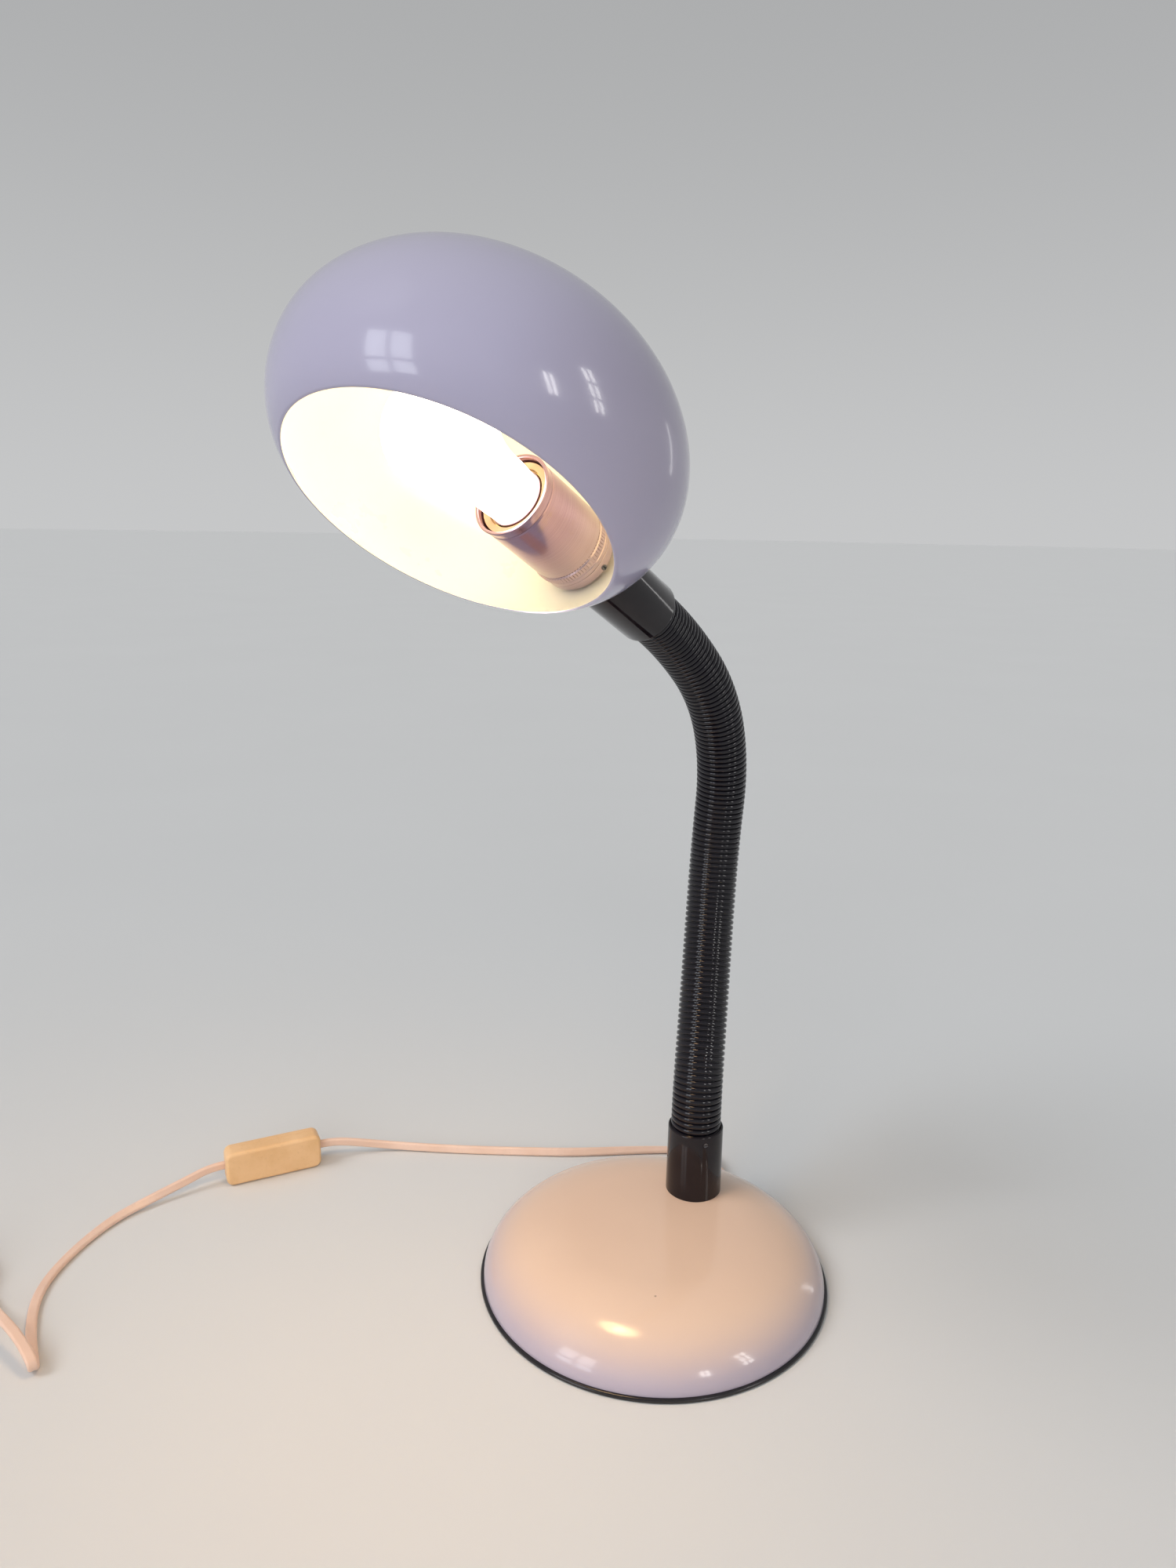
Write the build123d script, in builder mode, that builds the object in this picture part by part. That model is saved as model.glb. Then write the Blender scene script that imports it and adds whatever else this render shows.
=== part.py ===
"""Gooseneck desk lamp: enamelled base and globe shade on a ribbed flexible neck.

Millimetres, +Z up. The origin is the centre of the base on the surface that it stands on. The neck
stands behind the centre, on +Y, and the head reaches over the front, towards -Y.
"""

import os
from math import cos, hypot, pi, radians, sin, sqrt, tan

from build123d import *

os.makedirs("parts", exist_ok=True)

# Base
TRIM_RADIUS = 95.0
TRIM_INNER_RADIUS = 87.0
TRIM_HEIGHT = 2.2
TRIM_ROUND = 0.9
TRIM_UPSTAND = 2.6
TRIM_UPSTAND_WALL = 1.2
SHELL_RADIUS = 93.3
SHELL_HEIGHT = 29.8
SHELL_FLAT_RADIUS = 46.5
SHEET = 1.2
BALLAST_RADIUS = 82.0
BALLAST_TOP = 17.0
BALLAST_CHAMFER = 3.0
BALLAST_SLOT_HALF = 16.0
COVER_SHEET = 1.2
COVER_INSET = 3.1
STUD_CIRCLE = 62.0
STUD_ANGLES = (30, 150, 270)
STUD_SHOULDER_RADIUS = 4.5
STUD_THREAD_RADIUS = 2.5
NUT_RECESS_RADIUS = 7.0
STUD_NUT_RADIUS = 5.2
HOLE_PLAY = 0.4

# Foot of the neck
FOOT_Y = 43.5
FOOT_TOP = 70.0
COLLAR_FOOT_RADIUS = 15.85
COLLAR_TOP_RADIUS = 15.6
COLLAR_BORE_RADIUS = 14.45
BOSS_RADIUS = 14.2
FOOT_BOSS_GAP = 3.4
HEAD_BOSS_GAP = 7.2
SADDLE_DEPTH = 3.0
STEM_RADIUS = 5.0
STEM_BORE_RADIUS = 3.2
STEM_HOLE_RADIUS = 5.2
STEM_BOTTOM = 19.0
NUT_RADIUS = 8.1
WASHER_RADIUS = 10.0
WASHER_SHEET = 1.5
GRUB_ANGLE = -39.0
GRUB_DEPTH = 5.0
GRUB_RADIUS = 1.3

# Neck: sections of constant curvature, one link each, with a joint where two sections meet.
# A bend is (pitch, sway) in degrees over one section; a negative pitch leans back, towards +Y.
SECTION = 46.7
BENDS = (
    (-25.8, -11.5),
    (3.4, 1.3),
    (10.5, 6.1),
    (13.3, 8.9),
    (22.7, -2.7),
    (20.9, -9.1),
    (16.6, 4.0),
)
NECK = SECTION * len(BENDS)
RIBS_PER_SECTION = 15
RIB_PITCH = SECTION / RIBS_PER_SECTION
RIB_CREST_RADIUS = 14.15
RIB_GROOVE_RADIUS = 12.9
RIB_RAMP = 0.2
SLEEVE_BORE_RADIUS = 11.9
SLEEVE_SPLIT = 7
BORE_STEPS = 8
FOOT_TUCK = 1
HEAD_TUCK = 2
CORE_RADIUS = 9.0
SOCKET_RADIUS = 9.05
CORE_BORE_RADIUS = 6.5
CORE_GAP = 2.6
CORE_TUCK = 28.0
FLEX_RADIUS = 2.6
FLEX_GAP = 0.9

# Shade: a flattened globe, its own axis at an angle to the neck's end
SHADE_RADIUS = 87.0
SHADE_CROWN = 59.5
CROWN_HANDLE = 0.745
SHOULDER_HANDLE = 0.388
SHADE_MOUTH_DEPTH = 34.5
SHADE_MOUTH_RADIUS = 70.3
SHADE_SHEET = 1.0
SHADE_REACH = 144.2
SHADE_DROP = -8.2
SHADE_TILT = 82.0
SHADE_ROLL = 4.2
HEAD_COLLAR_RADIUS = 16.2
HEAD_COLLAR_START = 4.4

# Lampholder and bulb, as distances along the neck's end axis
CAP_BACK = 61.5
CAP_FRONT = 70.0
HOLDER_RIM = 118.3
HOLDER_RADIUS = 18.6
LIP_RADIUS = 19.3
BULB_RADIUS = 23.0
BULB_CENTRE = 163.5
BULB_CAP_RADIUS = 13.1
SLOT_LENGTH = 4.4
SLOT_WIDTH = 0.8

# Cord, switch and plug
CORD_RADIUS = 2.1
EXIT_ANGLE = 95.0
EXIT_HEADING = 125.0
EXIT_HEIGHT = 7.0
BUSH_LENGTH = 20.0
SWITCH_CENTRE = (-246.0, -58.0, 11.0)
SWITCH_HEADING = 59.8
SWITCH_LENGTH = 58.0
SWITCH_WIDTH = 22.0
SWITCH_BASE_DEPTH = 8.5
SWITCH_COVER_DEPTH = 6.5
COIL_CENTRE = (-302.0, -249.0)
COIL_RADIUS = 29.0
COIL_HALF_WIDTH = 5.7
COIL_HEIGHT = 11.6
COIL_HEADING = 170.0
COIL_STUB = 22.0
TAIL_LENGTH = 37.0
PLUG_HEIGHT = 7.0
PLUG_BODY_LENGTH = 36.0
PIN_RADIUS = 2.0
PIN_LENGTH = 19.0
PIN_SPACING = 19.0


def keep(part, name):
    """Label a finished piece and write it."""
    part.label = name
    export_step(part, f"parts/{name}.step")


def heading(angle):
    """Unit vector in the XY plane at an angle from +X, in degrees."""
    return Vector(cos(radians(angle)), sin(radians(angle)), 0)


# ---------------------------------------------------------------- frames along the neck


def along_bend(start, bend, distance):
    """The plane across the neck at a distance into a section that starts at a plane."""
    pitch, sway = bend
    angle = hypot(pitch, sway)
    turn = Axis((0, 0, 0), start.x_dir * pitch + start.y_dir * sway)
    inward = turn.direction.cross(start.z_dir)
    radius = SECTION / radians(angle)
    part_angle = angle * distance / SECTION
    swing = radians(part_angle)
    origin = start.origin + start.z_dir * (radius * sin(swing)) + inward * (radius * (1 - cos(swing)))
    across = start.x_dir.rotate(turn, part_angle)
    return Plane(origin, x_dir=across, z_dir=start.z_dir.rotate(turn, part_angle))


SECTION_STARTS = [Plane((0, FOOT_Y, FOOT_TOP))]
for section_bend in BENDS:
    SECTION_STARTS.append(along_bend(SECTION_STARTS[-1], section_bend, SECTION))
NECK_END = SECTION_STARTS[-1]


def station(distance):
    """The plane across the neck at a distance along it; straight on past both ends."""
    if distance <= 0:
        return SECTION_STARTS[0].offset(distance)
    if distance >= NECK:
        return NECK_END.offset(distance - NECK)
    section = int(distance // SECTION)
    return along_bend(SECTION_STARTS[section], BENDS[section], distance - section * SECTION)


def neck_line(first, last):
    """Draw the centreline between two distances inside one section, with any straight end."""
    if first < 0:
        Line(station(first).origin, station(0).origin)
        first = 0
    arc_end = min(last, NECK)
    ThreePointArc(station(first).origin, station((first + arc_end) / 2).origin, station(arc_end).origin)
    if last > NECK:
        Line(station(NECK).origin, station(last).origin)


def head_profile():
    """The plane whose x is a radius and whose y runs along the neck's end axis."""
    radial = NECK_END.x_dir
    return Plane(NECK_END.origin, x_dir=radial, z_dir=radial.cross(NECK_END.z_dir))


HEAD_AXIS = Axis(NECK_END.origin, NECK_END.z_dir)
FOOT_AXIS = Axis((0, FOOT_Y, 0), (0, 0, 1))
FOOT_PROFILE = Plane((0, FOOT_Y, 0), x_dir=(1, 0, 0), z_dir=(0, -1, 0))

# ---------------------------------------------------------------- base


def shell_outline(inset):
    """Half outline of the base shell, a flat top and an elliptical shoulder, set in by a sheet."""
    top = SHELL_HEIGHT - inset
    edge = SHELL_RADIUS - inset
    Polyline((0, TRIM_HEIGHT), (0, top), (SHELL_FLAT_RADIUS, top))
    shoulder = (edge - SHELL_FLAT_RADIUS, top - TRIM_HEIGHT)
    EllipticalCenterArc((SHELL_FLAT_RADIUS, TRIM_HEIGHT), *shoulder, start_angle=0, arc_size=90)
    Line((edge, TRIM_HEIGHT), (0, TRIM_HEIGHT))


with BuildPart() as shell_form:
    with BuildSketch(Plane.XZ):
        with BuildLine():
            shell_outline(0)
        make_face()
    revolve(axis=Axis.Z)

exit_wall = sqrt(1 - ((EXIT_HEIGHT - TRIM_HEIGHT) / (SHELL_HEIGHT - TRIM_HEIGHT)) ** 2)
exit_radius = SHELL_FLAT_RADIUS + (SHELL_RADIUS - SHELL_FLAT_RADIUS) * exit_wall
exit_point = heading(EXIT_ANGLE) * exit_radius + Vector(0, 0, EXIT_HEIGHT)
exit_plane = Plane(exit_point, x_dir=(0, 0, 1), z_dir=heading(EXIT_HEADING))

BUSH_BODY_RADIUS = 3.8
BUSH_FLANGE_RADIUS = 4.7

with BuildPart() as base_shell:
    add(shell_form.part)
    with BuildSketch(Plane.XZ):
        with BuildLine():
            shell_outline(SHEET)
        make_face()
    revolve(axis=Axis.Z, mode=Mode.SUBTRACT)
    for stud_angle in STUD_ANGLES:
        with BuildSketch(Plane(heading(stud_angle) * STUD_CIRCLE + Vector(0, 0, TRIM_HEIGHT))):
            Circle(STUD_THREAD_RADIUS)
        extrude(amount=BALLAST_TOP - TRIM_HEIGHT)
        with BuildSketch(Plane(heading(stud_angle) * STUD_CIRCLE + Vector(0, 0, BALLAST_TOP))):
            Circle(STUD_SHOULDER_RADIUS)
        extrude(until=Until.NEXT)
    with BuildSketch(Plane((0, FOOT_Y, SHELL_HEIGHT))):
        Circle(STEM_HOLE_RADIUS)
    extrude(amount=-2 * SHEET, mode=Mode.SUBTRACT)
    with BuildSketch(exit_plane.offset(-10)):
        Circle(BUSH_BODY_RADIUS)
    extrude(amount=20, mode=Mode.SUBTRACT)
keep(base_shell.part, "base_shell")

with BuildPart() as base_trim:
    with BuildSketch(Plane.XZ) as trim_profile:
        with Locations(((TRIM_INNER_RADIUS + TRIM_RADIUS) / 2, TRIM_HEIGHT / 2)):
            Rectangle(TRIM_RADIUS - TRIM_INNER_RADIUS, TRIM_HEIGHT)
        fillet(trim_profile.vertices().group_by(Axis.X)[-1], TRIM_ROUND)
        with Locations((SHELL_RADIUS - SHEET - HOLE_PLAY, TRIM_HEIGHT)):
            Rectangle(TRIM_UPSTAND_WALL, TRIM_UPSTAND, align=(Align.MAX, Align.MIN))
    revolve(axis=Axis.Z)
    with BuildSketch(exit_plane.offset(-10)):
        Circle(BUSH_FLANGE_RADIUS + HOLE_PLAY)
    extrude(amount=20, mode=Mode.SUBTRACT)
keep(base_trim.part, "base_trim")

with BuildPart() as bottom_cover:
    with BuildSketch(Plane.XY.offset(TRIM_HEIGHT)):
        Circle(SHELL_RADIUS - COVER_INSET)
        with PolarLocations(STUD_CIRCLE, len(STUD_ANGLES), start_angle=STUD_ANGLES[0]):
            Circle(STUD_THREAD_RADIUS + HOLE_PLAY, mode=Mode.SUBTRACT)
    extrude(amount=COVER_SHEET)
    with BuildSketch(exit_plane.offset(-30)):
        Circle(BUSH_FLANGE_RADIUS + HOLE_PLAY)
    extrude(amount=40, mode=Mode.SUBTRACT)
keep(bottom_cover.part, "bottom_cover")

with BuildPart() as base_pad:
    with BuildSketch(Plane.XY):
        Circle(TRIM_INNER_RADIUS - HOLE_PLAY)
        with PolarLocations(STUD_CIRCLE, len(STUD_ANGLES), start_angle=STUD_ANGLES[0]):
            Circle(NUT_RECESS_RADIUS, mode=Mode.SUBTRACT)
    extrude(amount=TRIM_HEIGHT)
keep(base_pad.part, "base_pad")

NUT_CLEARANCE = 0.4
with BuildPart() as stud_nuts:
    with BuildSketch(Plane.XY.offset(NUT_CLEARANCE)):
        with PolarLocations(STUD_CIRCLE, len(STUD_ANGLES), start_angle=STUD_ANGLES[0]):
            RegularPolygon(radius=STUD_NUT_RADIUS, side_count=6)
    extrude(amount=TRIM_HEIGHT - NUT_CLEARANCE)
keep(stud_nuts.part, "stud_nuts")

BALLAST_BOTTOM = TRIM_HEIGHT + COVER_SHEET
with BuildPart() as ballast:
    with BuildSketch(Plane.XY.offset(BALLAST_BOTTOM)):
        Circle(BALLAST_RADIUS)
    extrude(amount=BALLAST_TOP - BALLAST_BOTTOM)
    chamfer(ballast.faces().sort_by(Axis.Z)[-1].edges(), BALLAST_CHAMFER)
    with BuildSketch(Plane.XY.offset(BALLAST_BOTTOM)):
        with PolarLocations(STUD_CIRCLE, len(STUD_ANGLES), start_angle=STUD_ANGLES[0]):
            Circle(STUD_THREAD_RADIUS + HOLE_PLAY)
        with Locations((0, FOOT_Y)):
            Circle(BALLAST_SLOT_HALF)
            Rectangle(2 * BALLAST_SLOT_HALF, BALLAST_RADIUS, align=(Align.CENTER, Align.MIN))
    extrude(amount=BALLAST_TOP, mode=Mode.SUBTRACT)
keep(ballast.part, "ballast")

# ---------------------------------------------------------------- foot of the neck

BOSS_TOP = FOOT_TOP - FOOT_BOSS_GAP
STEM_TOP = SHELL_HEIGHT + 10
BOSS_BOTTOM = SHELL_HEIGHT - SADDLE_DEPTH

with BuildPart() as foot_stem:
    with BuildSketch(Plane((0, FOOT_Y, STEM_BOTTOM))):
        Circle(STEM_RADIUS)
        Circle(STEM_BORE_RADIUS, mode=Mode.SUBTRACT)
    extrude(amount=STEM_TOP - STEM_BOTTOM)
keep(foot_stem.part, "foot_stem")

# A grub screw through the collar and the boss holds the neck's core in its socket.
grub_direction = heading(GRUB_ANGLE)
grub_start = Vector(0, FOOT_Y, FOOT_TOP - GRUB_DEPTH) + grub_direction * SOCKET_RADIUS
grub_plane = Plane(grub_start, x_dir=(0, 0, 1), z_dir=grub_direction)
GRUB_LENGTH = COLLAR_TOP_RADIUS - SOCKET_RADIUS - 0.15
GRUB_SLOT = 0.8
with BuildPart() as foot_boss:
    with BuildSketch(FOOT_PROFILE):
        with BuildLine():
            Polyline(
                (STEM_RADIUS, BOSS_BOTTOM),
                (BOSS_RADIUS, BOSS_BOTTOM),
                (BOSS_RADIUS, BOSS_TOP),
                (SOCKET_RADIUS, BOSS_TOP),
                (SOCKET_RADIUS, FOOT_TOP - CORE_TUCK),
                (STEM_BORE_RADIUS, FOOT_TOP - CORE_TUCK),
                (STEM_BORE_RADIUS, STEM_TOP),
                (STEM_RADIUS, STEM_TOP),
                close=True,
            )
        make_face()
    revolve(axis=FOOT_AXIS)
    add(shell_form.part, mode=Mode.SUBTRACT)
    with BuildSketch(grub_plane):
        Circle(GRUB_RADIUS)
    extrude(amount=20, mode=Mode.SUBTRACT)
keep(foot_boss.part, "foot_boss")

with BuildPart() as foot_grub_screw:
    with BuildSketch(grub_plane):
        Circle(GRUB_RADIUS)
    extrude(amount=GRUB_LENGTH)
    with BuildSketch(grub_plane.offset(GRUB_LENGTH)):
        Rectangle(GRUB_SLOT / 2, 2 * GRUB_RADIUS)
    extrude(amount=-GRUB_SLOT, mode=Mode.SUBTRACT)
keep(foot_grub_screw.part, "foot_grub_screw")

COLLAR_BEVEL = 0.6
with BuildPart() as foot_collar:
    with BuildSketch(FOOT_PROFILE):
        with BuildLine():
            Polyline(
                (COLLAR_BORE_RADIUS, BOSS_BOTTOM),
                (COLLAR_FOOT_RADIUS, BOSS_BOTTOM),
                (COLLAR_TOP_RADIUS, FOOT_TOP - COLLAR_BEVEL),
                (COLLAR_TOP_RADIUS - COLLAR_BEVEL, FOOT_TOP),
                (COLLAR_BORE_RADIUS, FOOT_TOP),
                close=True,
            )
        make_face()
    revolve(axis=FOOT_AXIS)
    add(shell_form.part, mode=Mode.SUBTRACT)
    with BuildSketch(grub_plane):
        Circle(GRUB_RADIUS + 0.15)
    extrude(amount=20, mode=Mode.SUBTRACT)
keep(foot_collar.part, "foot_collar")

UNDERSIDE = SHELL_HEIGHT - SHEET
FOOT_NUT_HEIGHT = 5.0
with BuildPart() as foot_nut:
    with BuildSketch(Plane((0, FOOT_Y, UNDERSIDE))):
        Circle(WASHER_RADIUS)
        Circle(STEM_RADIUS, mode=Mode.SUBTRACT)
    extrude(amount=-WASHER_SHEET)
    with BuildSketch(Plane((0, FOOT_Y, UNDERSIDE - WASHER_SHEET))):
        RegularPolygon(radius=NUT_RADIUS, side_count=6)
        Circle(STEM_RADIUS, mode=Mode.SUBTRACT)
    extrude(amount=-FOOT_NUT_HEIGHT)
    add(base_shell.part, mode=Mode.SUBTRACT)
keep(foot_nut.part, "foot_nut")

# ---------------------------------------------------------------- cord entry

BUSH_TAIL = 9.0
BUSH_STEP = 5.0
BUSH_COLLAR = 4.4
BUSH_NECK = 6.0
with BuildPart() as cord_bush:
    with BuildSketch(Plane(exit_point, x_dir=(0, 0, 1), z_dir=heading(EXIT_HEADING + 90))):
        with BuildLine():
            Polyline(
                (CORD_RADIUS, -BUSH_TAIL),
                (BUSH_BODY_RADIUS, -BUSH_TAIL),
                (BUSH_FLANGE_RADIUS, -BUSH_STEP),
                (BUSH_FLANGE_RADIUS, BUSH_COLLAR),
                (BUSH_BODY_RADIUS - 0.4, BUSH_NECK),
                (CORD_RADIUS + 0.8, BUSH_LENGTH),
                (CORD_RADIUS, BUSH_LENGTH),
                close=True,
            )
        make_face()
    revolve(axis=Axis(exit_point, heading(EXIT_HEADING)))
    add(base_shell.part, mode=Mode.SUBTRACT)
keep(cord_bush.part, "cord_bush")

# The flex runs from the bush under a clamp bar and up through the stem.
CLAMP_Y = 66.0
CLAMP_HALF = 11.0
CLAMP_END = 3.0
CLAMP_WIDTH = 9.0
CLAMP_TOP = EXIT_HEIGHT + FLEX_RADIUS + 2
CLAMP_SCREW_RADIUS = 1.6
CLAMP_HEAD_RADIUS = 2.9
CLAMP_HEAD_HEIGHT = 1.8
bush_inner_end = exit_point - heading(EXIT_HEADING) * BUSH_TAIL
flex_corner = Vector(0, exit_point.Y - exit_point.X * tan(radians(EXIT_HEADING)), EXIT_HEIGHT)
flex_turn = Vector(0, FOOT_Y, EXIT_HEIGHT)

with BuildPart() as cord_clamp:
    with BuildSketch(Plane.XY.offset(BALLAST_BOTTOM)):
        with Locations((0, CLAMP_Y)):
            RectangleRounded(2 * (CLAMP_HALF + CLAMP_END), CLAMP_WIDTH, 2)
            with Locations((-CLAMP_HALF, 0), (CLAMP_HALF, 0)):
                Circle(CLAMP_SCREW_RADIUS, mode=Mode.SUBTRACT)
    extrude(amount=CLAMP_TOP - BALLAST_BOTTOM)
    with BuildSketch(Plane.XZ.offset(-CLAMP_Y)):
        with Locations((0, EXIT_HEIGHT)):
            Circle(FLEX_RADIUS)
    extrude(amount=CLAMP_WIDTH, both=True, mode=Mode.SUBTRACT)
keep(cord_clamp.part, "cord_clamp")

with BuildPart() as clamp_screws:
    with BuildSketch(Plane.XY.offset(BALLAST_BOTTOM)):
        with Locations((-CLAMP_HALF, CLAMP_Y), (CLAMP_HALF, CLAMP_Y)):
            Circle(CLAMP_SCREW_RADIUS)
    extrude(amount=CLAMP_TOP - BALLAST_BOTTOM)
    with BuildSketch(Plane.XY.offset(CLAMP_TOP)):
        with Locations((-CLAMP_HALF, CLAMP_Y), (CLAMP_HALF, CLAMP_Y)):
            Circle(CLAMP_HEAD_RADIUS)
            SlotOverall(SLOT_LENGTH, SLOT_WIDTH, mode=Mode.SUBTRACT)
    extrude(amount=CLAMP_HEAD_HEIGHT)
keep(clamp_screws.part, "clamp_screws")

# ---------------------------------------------------------------- neck links

LINKS = len(BENDS)


def link_ends(index, gap):
    """The two distances that a link of the neck spans, short of its joints by a gap."""
    first = index * SECTION + gap if index else -CORE_TUCK
    last = (index + 1) * SECTION - gap if index < LINKS - 1 else NECK + CORE_TUCK
    return first, last


for index in range(LINKS):
    first, last = link_ends(index, CORE_GAP)
    with BuildPart() as neck_core:
        with BuildLine():
            neck_line(first, last)
        with BuildSketch(station(first)):
            Circle(CORE_RADIUS)
            Circle(CORE_BORE_RADIUS, mode=Mode.SUBTRACT)
        sweep()
    keep(neck_core.part, f"neck_core_{index}")

    first, last = link_ends(index, FLEX_GAP)
    flex_start = station(first)
    with BuildPart() as flex:
        with BuildLine():
            if index == 0:
                FilletPolyline(bush_inner_end, flex_corner, flex_turn, flex_start.origin, radius=(7, 12))
                flex_start = Plane(bush_inner_end, z_dir=flex_corner - bush_inner_end)
            neck_line(first, last)
        with BuildSketch(flex_start):
            Circle(FLEX_RADIUS)
        sweep()
    keep(flex.part, f"flex_{index}")


def rib_stations(first_rib, last_rib):
    """The (distance, radius) of each ring that the ribbed sleeve is lofted through."""
    rings = [(first_rib * RIB_PITCH, RIB_GROOVE_RADIUS)]
    for rib in range(first_rib, last_rib):
        rings.append(((rib + RIB_RAMP) * RIB_PITCH, RIB_CREST_RADIUS))
        rings.append(((rib + 1 - RIB_RAMP) * RIB_PITCH, RIB_CREST_RADIUS))
        rings.append(((rib + 1) * RIB_PITCH, RIB_GROOVE_RADIUS))
    return rings


def sleeve_ribs(joint):
    """The first and last rib of the stretch of sleeve over a joint, from mid-link to mid-link."""
    first = (joint - 1) * RIBS_PER_SECTION + SLEEVE_SPLIT if joint > 1 else -FOOT_TUCK
    last = joint * RIBS_PER_SECTION + SLEEVE_SPLIT
    if joint == LINKS - 1:
        last = LINKS * RIBS_PER_SECTION + HEAD_TUCK
    return first, last


for joint in range(1, LINKS):
    first_rib, last_rib = sleeve_ribs(joint)
    with BuildPart() as sleeve:
        for distance, radius in rib_stations(first_rib, last_rib):
            with BuildSketch(station(distance)):
                Circle(radius)
        loft(ruled=True)
        for step in range(BORE_STEPS + 1):
            bore_rib = first_rib + (last_rib - first_rib) * step / BORE_STEPS
            with BuildSketch(station(bore_rib * RIB_PITCH)):
                Circle(SLEEVE_BORE_RADIUS)
        loft(ruled=True, mode=Mode.SUBTRACT)
    keep(sleeve.part, f"neck_sleeve_{joint}")

# ---------------------------------------------------------------- shade

neck_dir = NECK_END.z_dir
downward = (Vector(0, 0, -1) - neck_dir * Vector(0, 0, -1).dot(neck_dir)).normalized()
sideways = neck_dir.cross(downward)
mouth_side = downward * cos(radians(SHADE_ROLL)) + sideways * sin(radians(SHADE_ROLL))
shade_dir = mouth_side * sin(radians(SHADE_TILT)) + neck_dir * cos(radians(SHADE_TILT))
shade_centre = NECK_END.origin + neck_dir * SHADE_REACH + shade_dir * SHADE_DROP
shade_radial = sideways.cross(shade_dir).normalized()
shade_profile = Plane(shade_centre, x_dir=shade_radial, z_dir=shade_radial.cross(shade_dir))
SHADE_AXIS = Axis(shade_centre, shade_dir)
MOUTH_HANDLE = 15.0
MOUTH_FLARE = 9.0
MOUTH_RISE = 6.0
SEAT_GAP = 0.03


def globe_outline(inset):
    """The shade's curve from its crown, over its widest ring, in to its mouth, set in by a sheet."""
    wide = SHADE_RADIUS - inset
    crown = -SHADE_CROWN + inset
    mouth = SHADE_MOUTH_RADIUS - inset * 1.2
    depth = SHADE_MOUTH_DEPTH
    Bezier((0, crown), (wide * CROWN_HANDLE, crown), (wide, crown * SHOULDER_HANDLE), (wide, 0))
    Bezier((wide, 0), (wide, MOUTH_HANDLE), (mouth + MOUTH_FLARE, depth - MOUTH_RISE), (mouth, depth))


def globe_form(inset):
    """The closed space within the shade's outline."""
    with BuildPart() as form:
        with BuildSketch(shade_profile):
            with BuildLine() as outline:
                globe_outline(inset)
                Polyline(outline.line @ 1, (0, SHADE_MOUTH_DEPTH), (0, inset - SHADE_CROWN))
            make_face()
        revolve(axis=SHADE_AXIS)
    return form.part


globe_outside = globe_form(0)
globe_inside = globe_form(SHADE_SHEET)
globe_seat = globe_form(-SEAT_GAP)


def head_plane(distance):
    """The plane across the neck's end axis, at a distance past the end of the neck."""
    return NECK_END.offset(distance)


STEM_HOLE_START = 40.0
with BuildPart() as shade:
    add(globe_outside)
    add(globe_inside, mode=Mode.SUBTRACT)
    with BuildSketch(head_plane(STEM_HOLE_START)):
        Circle(STEM_HOLE_RADIUS)
    extrude(amount=CAP_BACK - STEM_HOLE_START, mode=Mode.SUBTRACT)
keep(shade.part, "shade")

SADDLE_REACH = 75.0
HEAD_COLLAR_BEVEL = (1.4, 1.8)
with BuildPart() as head_collar:
    with BuildSketch(head_profile()):
        with BuildLine():
            Polyline(
                (COLLAR_BORE_RADIUS, HEAD_COLLAR_START),
                (HEAD_COLLAR_RADIUS - HEAD_COLLAR_BEVEL[0], HEAD_COLLAR_START),
                (HEAD_COLLAR_RADIUS, HEAD_COLLAR_START + HEAD_COLLAR_BEVEL[1]),
                (HEAD_COLLAR_RADIUS, SADDLE_REACH),
                (COLLAR_BORE_RADIUS, SADDLE_REACH),
                close=True,
            )
        make_face()
    revolve(axis=HEAD_AXIS)
    add(globe_seat, mode=Mode.SUBTRACT)
keep(head_collar.part, "head_collar")

STEM_START = CORE_TUCK + 2
with BuildPart() as head_boss:
    with BuildSketch(head_profile()):
        with BuildLine():
            Polyline(
                (STEM_RADIUS, SADDLE_REACH),
                (BOSS_RADIUS, SADDLE_REACH),
                (BOSS_RADIUS, HEAD_BOSS_GAP),
                (SOCKET_RADIUS, HEAD_BOSS_GAP),
                (SOCKET_RADIUS, CORE_TUCK),
                (STEM_BORE_RADIUS, CORE_TUCK),
                (STEM_BORE_RADIUS, STEM_START),
                (STEM_RADIUS, STEM_START),
                close=True,
            )
        make_face()
    revolve(axis=HEAD_AXIS)
    add(globe_seat, mode=Mode.SUBTRACT)
keep(head_boss.part, "head_boss")

STEM_END = 69.0
with BuildPart() as head_stem:
    with BuildSketch(head_plane(STEM_START)):
        Circle(STEM_RADIUS)
        Circle(STEM_BORE_RADIUS, mode=Mode.SUBTRACT)
    extrude(amount=STEM_END - STEM_START)
keep(head_stem.part, "head_stem")

SPACER_RADIUS = 12.0
with BuildPart() as shade_spacer:
    with BuildSketch(head_plane(STEM_HOLE_START)):
        Circle(SPACER_RADIUS)
        Circle(STEM_RADIUS, mode=Mode.SUBTRACT)
    extrude(amount=CAP_BACK - STEM_HOLE_START)
    add(globe_inside, mode=Mode.INTERSECT)
keep(shade_spacer.part, "shade_spacer")

# ---------------------------------------------------------------- lampholder

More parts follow.
